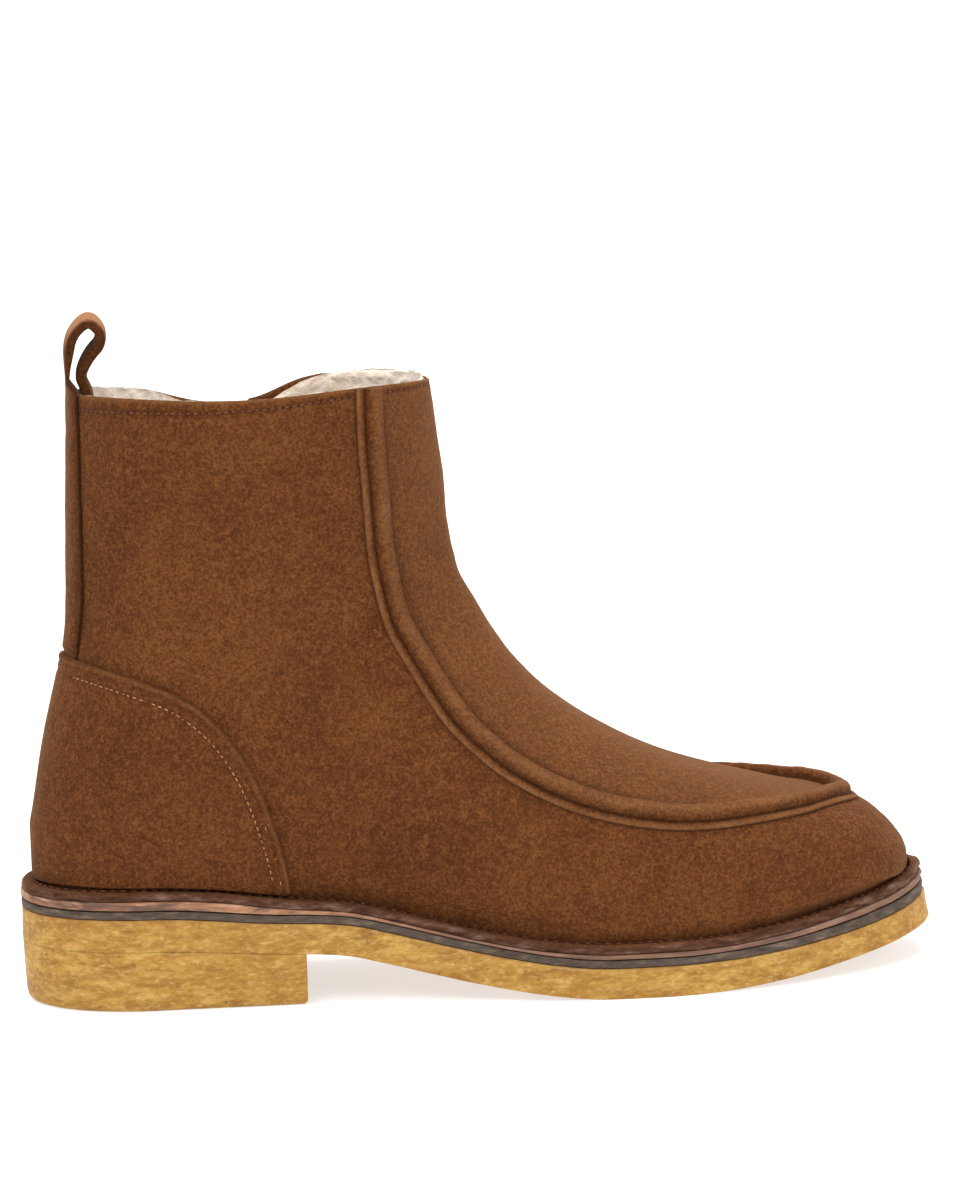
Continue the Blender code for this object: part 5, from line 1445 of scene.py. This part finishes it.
def build_apron_seam(finish):
    """The raised seam round the apron: a roll with a cut edge beside it."""
    last = APRON_SEAM.key[-1]
    steps = np.linspace(-last, last, 620)
    k, place = seam_path(steps)
    small = 0.01
    after, before = seam_path(steps + small), seam_path(steps - small)
    ahead = (after[0] - before[0], after[1] - before[1])
    half = ROLL_WIDTH / 2
    arc = np.linspace(0, math.pi, 17)
    # Each profile point: across, height, a lighter share and a darker share. The lighter share is a
    # painted highlight on the roll's crest and paints the flange lighter towards its cut edge; the
    # darker share is painted shade at the roll's foot, in the groove beside it and underneath.
    profile = []
    for t in arc[:-2]:
        rise = math.sin(t)
        lightened, dim = 0.55 * rise**4, 0.5 * (1 - rise) ** 2
        profile.append((half * -math.cos(t), ROLL_HEIGHT * rise**0.75, lightened, dim))
    profile += [
        (half * 1.00, 0.75 * MM, 0.0, 0.55),
        (half + 0.35 * MM, 0.62 * MM, 0.0, 0.6),
        (half + 0.80 * MM, 0.95 * MM, 0.1, 0.2),
        (half + 1.50 * MM, 1.08 * MM, 0.3, 0.0),
        (half + 2.20 * MM, 1.02 * MM, 0.7, 0.0),
        (half + 2.70 * MM, 0.70 * MM, 0.8, 0.0),
        (half + FLANGE_WIDTH, 0.30 * MM, 0.3, 0.3),
        (half + FLANGE_WIDTH, 0.0, 0.0, 0.9),
        (half, 0.0, 0.0, 0.9),
        (0.0, 0.0, 0.0, 0.9),
    ]
    rings = []
    flat = np.stack([steps * 18 * MM, 0 * steps, 0 * steps], 1)
    for across, height, _, _ in profile:
        at_k, at_place = beside(k, place, ahead, across)
        at_k = trimmed(np.minimum(at_k, COLLAR_SECTION), at_place)
        shifted = flat + [0, across, 0]
        uneven = 1 + 0.07 * noise(shifted, 9 * MM, 71) + 0.05 * noise(shifted, 3 * MM, 72)
        if across > half:
            uneven = uneven * (1 - 0.45 * np.exp(-((steps / 1.2) ** 2)))
        sunk = 0.35 * MM if height <= 0 else 0.0
        rings.append(dressed(at_k, at_place, GAP + height * uneven - sunk))
    rings = np.stack(rings, 1)
    wear_and_highlight = np.tile([row[2] for row in profile], (len(steps), 1))
    shade = np.tile([row[3] for row in profile], (len(steps), 1))
    wear_and_highlight = wear_and_highlight * (0.8 + 0.4 * noise(rings, 7 * MM, 73))
    seam = tube("apron_roll", rings, finish, {"wear_and_highlight": np.clip(wear_and_highlight, 0, 1), "shade": shade})
    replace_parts(seam, "apron_seam")


def build_back_strap(finish):
    """One strip: sewn over the back seam, then standing up as the pull loop."""
    share = np.sin(np.linspace(-1, 1, 15) * math.pi / 2)
    edge = np.exp(-(((1 - np.abs(share)) / 0.14) ** 2))
    rings, wear_and_highlight, shade = [], [], []
    for k in np.linspace(COUNTER_TOP - 0.3, COLLAR_SECTION, 96):
        clear = smoothstep((k - COUNTER_TOP + 0.04) / 0.1)
        span = np.linalg.norm(surface(k, 1.0) - surface(k, 0.97)) / 0.03
        across = BACK_STRAP_HALF_WIDTH * share / span
        place = np.where(across < 0, -1 - across, 1 - across)
        at = np.full(len(place), k)
        height = 0.45 * MM + clear * (GAP + SKIN - 0.45 * MM - 0.5 * MM * edge)
        outer, inner = dressed(at, place, height), dressed(at, place, GAP * 0.4)
        rings.append(np.concatenate([outer, inner[::-1]]))
        wear_and_highlight.append(np.zeros(2 * len(share)))
        # The strap's edges get painted shade on both faces.
        shade.append(np.concatenate([0.55 * edge, 0.8 * edge]))
    start = surface(COLLAR_SECTION, 1.0)
    start = start + back_normal(np.array([float(COLLAR_SECTION)]))[0] * (GAP + SKIN / 2)
    steps = np.linspace(LOOP_PATH.key[0], LOOP_PATH.key[-1], 150)

    def path(step):
        depth = LOOP_PATH.smooth("depth", step) * LOOP_DEPTH
        rise = LOOP_PATH.smooth("rise", step) * LOOP_HEIGHT
        lean = -np.maximum(rise, 0) * math.tan(LOOP_LEAN)
        return start + np.stack([depth, lean, rise], -1)

    ahead = path(np.minimum(steps + 0.02, steps[-1])) - path(np.maximum(steps - 0.02, steps[0]))
    out = unit(np.stack([-ahead[:, 2], 0 * steps, ahead[:, 0]], 1))
    settle = smoothstep((steps - 1) / 2)
    width = BACK_STRAP_HALF_WIDTH * 0.8 * (1 - settle) + LOOP_WIDTH / 2 * settle
    thick = SKIN * (1 - settle) + (LOOP_THICKNESS + 0.7 * MM) * settle
    # The loop's outer face is painted lighter towards its top, a painted highlight; its edges and
    # its inner face get painted shade.
    top = smoothstep((path(steps)[:, 2] - start[2]) / LOOP_HEIGHT * 3 - 1.7)
    for centre, normal, half, depth, high in zip(path(steps), out, width, thick, top):
        tilt = LOOP_LEAN * smoothstep((centre[2] - start[2]) / (0.5 * LOOP_HEIGHT))
        centre = centre - normal * (depth - SKIN) * 0.3
        line = centre + np.outer(half * share, [0, math.cos(tilt), math.sin(tilt)])
        round_off = (1 - 0.45 * np.abs(share) ** 6)[:, None]
        rise = normal * depth / 2 * round_off
        rings.append(np.concatenate([line + rise, (line - rise)[::-1]]))
        wear_and_highlight.append(np.concatenate([high * (1 - edge), 0 * share]))
        shade.append(np.concatenate([0.5 * edge, 0.45 + 0 * edge]))
    rings = np.stack(rings)
    rings += (0.12 * MM * noise(rings, 4 * MM, 81))[..., None] * np.array([1, 0.4, 1])
    painted = {"wear_and_highlight": np.stack(wear_and_highlight), "shade": np.stack(shade)}
    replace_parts(tube("strap_and_loop", rings, finish, painted), "back_strap")


def build_insole(finish):
    inset = WELT_REACH + WALL + 8 * GAP
    base = GAP / 2
    edge = (
        (inset + 1 * MM, lambda x: seat_height(x) + base),
        (inset, lambda x: seat_height(x) + base + 0.6 * MM),
        (inset, lambda x: seat_height(x) + base + INSOLE_THICKNESS * 0.8),
        (inset + 2 * MM, lambda x: seat_height(x) + base + INSOLE_THICKNESS),
    )
    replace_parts(slab("fleece_insole", edge, finish, 0.2, 91), "insole")


# Stitches on the upper


def collar_stitches(thread, hole_shadows):
    """The row round the collar, broken at the zip."""
    k = COLLAR_SECTION - COLLAR_STITCH_DROP / SECTION_STEP
    first, last = zip_edges(np.array([k]))
    margin = 0.016
    strap = 0.965
    spans = ("outer", -strap, first[0] - margin), ("inner", last[0] + margin, strap)
    for name, start, stop in spans:
        place = np.linspace(start, stop, 700)
        at = at_rim(np.full(len(place), k), place)
        line = dressed(at, place, -0.2 * MM)
        out, stitch = normals(at, place), (2.25 * MM, 1.5 * MM, 0.55 * MM)
        stitch_row(f"collar_stitch_{name}", line, out, thread, hole_shadows, *stitch)


def zip_stitches(thread, hole_shadows):
    """A row beside each edge of the zip's slot."""
    rows = np.linspace(ZIP_BOTTOM_SECTION + 0.1, COLLAR_SECTION - 0.2, 500)
    before, behind = zip_edges(rows, -2.2 * MM)
    for name, place in (("front", before), ("back", behind)):
        at = trimmed(rows, place)
        line = dressed(at, place, 0.05 * MM)
        out, stitch = normals(at, place), (2.4 * MM, 1.6 * MM, 0.55 * MM)
        stitch_row(f"zip_stitch_{name}", line, out, thread, hole_shadows, *stitch)


def welt_stitches(thread, hole_shadows):
    """Short stitches that show where the upper turns out onto the welt."""

    def just_above(x):
        return seat_height(x) + WELT_THICKNESS * 1.08

    ring = welt_inner_edge(just_above, -0.55 * MM)
    ring = np.concatenate([ring, ring[:1]])
    up = np.tile([0.0, 0.0, 1.0], (len(ring), 1))
    stitch_row("welt_stitch", ring, up, thread, hole_shadows, 3.1 * MM, 1.7 * MM, 0.5 * MM)


# The zip


def zip_strip(name, rows, half, low, high, finish):
    """A strip along the zip's line, between two depths of the upper's wall."""
    middle = zip_line(rows)
    span = np.linalg.norm(surface(rows, middle + 0.01) - surface(rows, middle - 0.01), axis=-1)
    share = np.linspace(-1, 1, 9)
    place = middle[:, None] + (half * 0.02 / span)[:, None] * share
    k = trimmed(np.repeat(rows[:, None], 9, 1), place)
    return shell(name, dressed(k, place, high), dressed(k, place, low), all_cells(*k.shape), finish)


def zip_facing(name, side, finish):
    """The binding along one edge of the slot: over the cut edge and onto the fleece."""
    rows = np.linspace(ZIP_BOTTOM_SECTION + 0.02, COLLAR_SECTION, 150)
    edge = zip_edges(rows)[0 if side < 0 else 1]
    deep = -SUEDE_LAYER - PILE - 0.5 * MM
    profile = (
        (0.5 * MM, -0.7 * MM),
        (-0.15 * MM, -0.25 * MM),
        (-0.3 * MM, -0.9 * MM),
        (-0.3 * MM, deep + 0.5 * MM),
        (0.4 * MM, deep),
        (3.6 * MM, deep + 0.2 * MM),
        (3.9 * MM, deep + 0.6 * MM),
        (0.5 * MM, deep + 0.7 * MM),
    )
    rings = []
    for away, depth in profile:
        place = edge + side * away / GIRTH_STEP
        at = at_rim(rows, place, 2.6 * MM if depth < -2 * MM else 0.3 * MM)
        rings.append(dressed(at, place, depth))
    return tube(name, np.stack(rings, 1), finish)


def build_zip(tape, metal, facing):
    zip_facing("zip_facing_front", -1, facing)
    zip_facing("zip_facing_back", 1, facing)
    rows = np.linspace(ZIP_BOTTOM_SECTION + 0.03, ZIP_TOP_SECTION - 0.05, 220)
    slot = ZIP_SLOT_WIDTH / 2 - 1.5 * GAP
    low, high = -ZIP_TAPE_SINK - ZIP_TAPE_THICKNESS, -ZIP_TAPE_SINK
    strip = zip_strip("zip_tape_cloth", rows, slot, low, high, tape)
    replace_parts(strip, "zip_tape")
    fine = np.linspace(rows[0] + 0.05, rows[-1] - 0.05, 800)
    middle = zip_line(fine)
    line = dressed(trimmed(fine, middle), middle, high + 0.45 * ZIP_TEETH_HEIGHT)
    out = normals(fine, middle)
    steps = even_steps(line, 0.75 * MM)
    centres, normal = at_steps(line, steps), at_steps(out, steps)
    along = unit(at_steps(np.gradient(line, axis=0), steps))
    across = np.cross(along, normal)
    turn = np.where(np.arange(len(steps)) % 2 == 0, 1.0, -1.0)[:, None]
    length = ZIP_TEETH_WIDTH / 2 + 0.35 * MM
    centres = centres + across * turn * (ZIP_TEETH_WIDTH / 2 - length / 2)
    teeth = beads("zip_teeth", centres, across, normal, (length, 0.8 * MM, ZIP_TEETH_HEIGHT), metal)
    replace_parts(teeth, "zip_chain")


def solid_plate(outline, low, high):
    """Local points and faces of a flat plate with an outline of across and up."""
    count = len(outline)
    points = [(u, v, level) for level in (low, high) for u, v in outline]
    faces = [list(range(count))[::-1], [count + i for i in range(count)]]
    faces += [[i, (i + 1) % count, (i + 1) % count + count, i + count] for i in range(count)]
    return points, faces


def rounded(thing, width, segments=3):
    """Bevels a piece's edges for good."""
    bevel = thing.modifiers.new("bevel", "BEVEL")
    bevel.width, bevel.segments, bevel.limit_method = width, segments, "ANGLE"
    bevel.angle_limit = math.radians(35)
    seen = thing.evaluated_get(bpy.context.evaluated_depsgraph_get())
    mesh = bpy.data.meshes.new_from_object(seen)
    thing.modifiers.clear()
    thing.data = mesh
    mesh.shade_smooth()
    mesh.set_sharp_from_angle(angle=math.radians(50))
    return thing


def build_slider(metal):
    """The slider's shaped plate with its side lips, and the bridge that holds the pull."""
    setting = slider_frame()
    half, end = SLIDER_WIDTH / 2, SLIDER_LENGTH / 2
    waist = [(half, 0.2 * MM), (half * 0.78, -0.55 * end), (half * 0.7, -end)]
    outline = [(half * 0.55, end), (half, end * 0.6)] + waist
    outline = outline + [(-u, v) for u, v in reversed(outline)]
    groups = [solid_plate(outline[::-1], SLIDER_PLATE, SLIDER_TOP)]
    lip = ZIP_TEETH_WIDTH / 2 + GAP
    for side in (-1, 1):
        rim = [(side * half, -end * 0.8), (side * half, end * 0.8)]
        rim += [(side * lip, end * 0.8), (side * lip, -end * 0.8)]
        groups.append(solid_plate(rim, SLIDER_BASE, SLIDER_PLATE + 0.2 * MM))
    body_points, body_faces = [], []
    for points, faces in groups:
        start = len(body_points)
        body_points += points
        body_faces += [[v + start for v in f] for f in faces]
    reach, wire = BRIDGE_REACH, BRIDGE_WIRE
    turn = np.linspace(0, math.pi, 13)

    def arch(reach, base, height):
        return [(reach * math.cos(t), base + height * math.sin(t) ** 0.6) for t in turn]

    sink = 0.2 * MM
    outer = arch(reach, SLIDER_TOP, BRIDGE_HEIGHT)
    inner = arch(reach - wire, SLIDER_TOP - sink, BRIDGE_HEIGHT - wire + sink)
    ring = outer + inner[::-1]
    start, count = len(body_points), len(ring)
    body_points += [(u, v, w) for u in (-BRIDGE_WIDTH / 2, BRIDGE_WIDTH / 2) for v, w in ring]
    for i in range(12):
        a, b = start + i, start + count - 1 - i
        body_faces += [[a, a + 1, b - 1, b], [b + count, b - 1 + count, a + 1 + count, a + count]]
    for i in range(count):
        j = (i + 1) % count
        body_faces.append([start + i, start + j, start + j + count, start + i + count])
    slider = new_object("zip_slider_body", placed(body_points, setting), body_faces, metal)
    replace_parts(rounded(slider, 0.22 * MM), "zip_slider")


def build_pull(metal):
    """The pull tab: a tapered plate with a window, whose top bar passes under the bridge."""
    setting = slider_frame()
    half, bar = PULL_WIDTH / 2, PULL_THICKNESS / 2
    axis = SLIDER_TOP + PULL_AXIS_HEIGHT
    turn = np.linspace(0, math.pi, 13)
    end = -PULL_LENGTH + half * 0.9
    foot = [(half * 0.95 * math.cos(t), end - half * 0.9 * math.sin(t)) for t in turn]
    shoulder = 1.0 * MM
    rim = [(half * 0.8, bar), (half, -shoulder)] + foot + [(-half, -shoulder), (-half * 0.8, bar)]
    count = len(rim)
    centre = np.array([0, -bar - (WINDOW_LENGTH - bar) / 2])
    window = []
    for u, v in rim:
        angle = math.atan2(v - centre[1], u - centre[0])
        c, s = math.cos(angle), math.sin(angle)
        wide = WINDOW_WIDTH / 2 / max(abs(c), 1e-6)
        scale = min(wide, (WINDOW_LENGTH - bar) / 2 / max(abs(s), 1e-6))
        window.append((centre[0] + c * scale, centre[1] + s * scale))
    points = []
    for level in (axis - bar, axis + bar):
        points += [(u, v, level) for u, v in rim + window]
    faces = []
    for i in range(count):
        j = (i + 1) % count
        faces.append([i, j, count + j, count + i])
        faces.append([2 * count + i, 3 * count + i, 3 * count + j, 2 * count + j])
        faces.append([j, i, 2 * count + i, 2 * count + j])
        faces.append([count + i, count + j, 3 * count + j, 3 * count + i])
    pull = new_object("zip_pull_tab", placed(points, setting), faces, metal, body="pull")
    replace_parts(rounded(pull, 0.2 * MM), "zip_pull")


# Stage, light and camera

CAMERA_PLACE = (-0.1177, -1.1444, 0.2690)
CAMERA_TARGET = (0.0025, -0.0007, 0.1150)
CAMERA_ROLL = math.radians(1.75)
CAMERA_LENS = 114.5


def look_at(place, target, roll=0.0):
    """A matrix that puts a camera or lamp at a place, facing a target."""
    place, target = np.array(place), np.array(target)
    ahead = (target - place) / np.linalg.norm(target - place)
    right = np.cross(ahead, [0, 0, 1])
    right /= np.linalg.norm(right)
    up = np.cross(right, ahead)
    c, s = math.cos(roll), math.sin(roll)
    right, up = c * right - s * up, s * right + c * up
    matrix = np.eye(4)
    matrix[:3, 0], matrix[:3, 1], matrix[:3, 2], matrix[:3, 3] = right, up, -ahead, place
    return Matrix(matrix.tolist())


def build_camera():
    camera = bpy.data.cameras.new("camera")
    camera.lens = CAMERA_LENS
    camera.clip_start, camera.clip_end = 0.05, 20
    holder = bpy.data.objects.new("camera", camera)
    holder.matrix_world = look_at(CAMERA_PLACE, CAMERA_TARGET, CAMERA_ROLL)
    bpy.context.collection.objects.link(holder)
    bpy.context.scene.camera = holder


def lamp(name, place, target, size, power, tint=(1, 1, 1)):
    light = bpy.data.lights.new(name, "AREA")
    light.shape, light.size, light.energy, light.color = "SQUARE", size, power, tint
    holder = bpy.data.objects.new(name, light)
    holder.matrix_world = look_at(place, target)
    bpy.context.collection.objects.link(holder)


def build_stage():
    """A plain pale floor that curves up into a backdrop, under soft light."""
    turn = np.linspace(0, math.pi / 2, 25)
    line = [(-4.0, 0.0)] + [(2.0 + 2.0 * math.sin(t), 2.0 - 2.0 * math.cos(t)) for t in turn]
    line.append((4.0, 8.0))
    reach = 6.0
    points = [(side * reach, y, z) for y, z in line for side in (-1, 1)]
    faces = [(2 * n, 2 * n + 1, 2 * n + 3, 2 * n + 2) for n in range(len(line) - 1)]
    mesh = bpy.data.meshes.new("floor")
    mesh.from_pydata(points, [], faces)
    mesh.shade_smooth()
    pale = Finish("floor", 0.95, Specular_IOR_Level=0.05)
    pale.shader.inputs["Base Color"].default_value = (0.5, 0.5, 0.5, 1)
    pale.shader.inputs["Emission Color"].default_value = (1, 1, 1, 1)
    pale.shader.inputs["Emission Strength"].default_value = 0.62
    mesh.materials.append(pale.material)
    floor = bpy.data.objects.new("floor", mesh)
    bpy.context.collection.objects.link(floor)
    scene = bpy.context.scene
    scene.view_settings.view_transform = "Standard"
    world = scene.world or bpy.data.worlds.new("world")
    scene.world = world
    world.use_nodes = True
    background = world.node_tree.nodes["Background"]
    background.inputs["Color"].default_value = (1, 1, 1, 1)
    background.inputs["Strength"].default_value = 0.75
    middle = (0, 0, 0.08)
    lamp("key", (-0.6, -1.0, 1.5), middle, 1.0, 15)
    lamp("fill", (1.3, -0.9, 0.8), middle, 1.0, 6)
    lamp("top", (0.1, 0.2, 1.7), middle, 1.4, 16)
    lamp("backdrop", (0.0, 1.2, 2.6), (0.0, 3.4, 0.6), 2.0, 60)


def build():
    dark, mid, light = colour(66, 33, 13), colour(91, 51, 23), colour(121, 75, 39)
    brown = suede("suede", dark, mid, light, colour(134, 92, 58))
    raw = colour(58, 34, 22), colour(86, 57, 42), colour(124, 98, 86)
    welt_tones = colour(56, 28, 13), colour(80, 46, 25), colour(112, 72, 44)
    welted = suede("welt_suede", *welt_tones, cut=raw)
    strap = suede("strap_suede", dark, mid, light, colour(158, 112, 76))
    crepe, heel_crepe = crepe_finish("crepe"), crepe_finish("heel_crepe")
    fleece = fleece_finish()
    thread = thread_finish("brown_thread", colour(88, 40, 16), colour(132, 70, 36))
    gold = thread_finish("light_thread", colour(140, 90, 50), colour(200, 150, 100))
    # Near-black brown for the beads that paint the shadow in each pinhole.
    hole_shadows = Finish("pinhole_shadows", 1.0)
    hole_shadows.shader.inputs["Base Color"].default_value = colour(44, 24, 14)
    hole_shadows = hole_shadows.material
    metal = metal_finish()
    build_sole(crepe, heel_crepe, ply_finish(), leather_layer_finish(), welted)
    build_upper(brown)
    build_lining(fleece)
    build_insole(fleece)
    build_counter(brown, gold, hole_shadows)
    build_apron_seam(brown)
    build_back_strap(strap)
    collar_stitches(thread, hole_shadows)
    zip_stitches(thread, hole_shadows)
    welt_stitches(thread, hole_shadows)
    facing = suede("facing_suede", colour(40, 25, 16), colour(62, 42, 30), colour(92, 68, 50))
    build_zip(tape_finish(), metal, facing)
    build_slider(metal)
    build_pull(metal)
    build_stage()
    build_camera()


build()
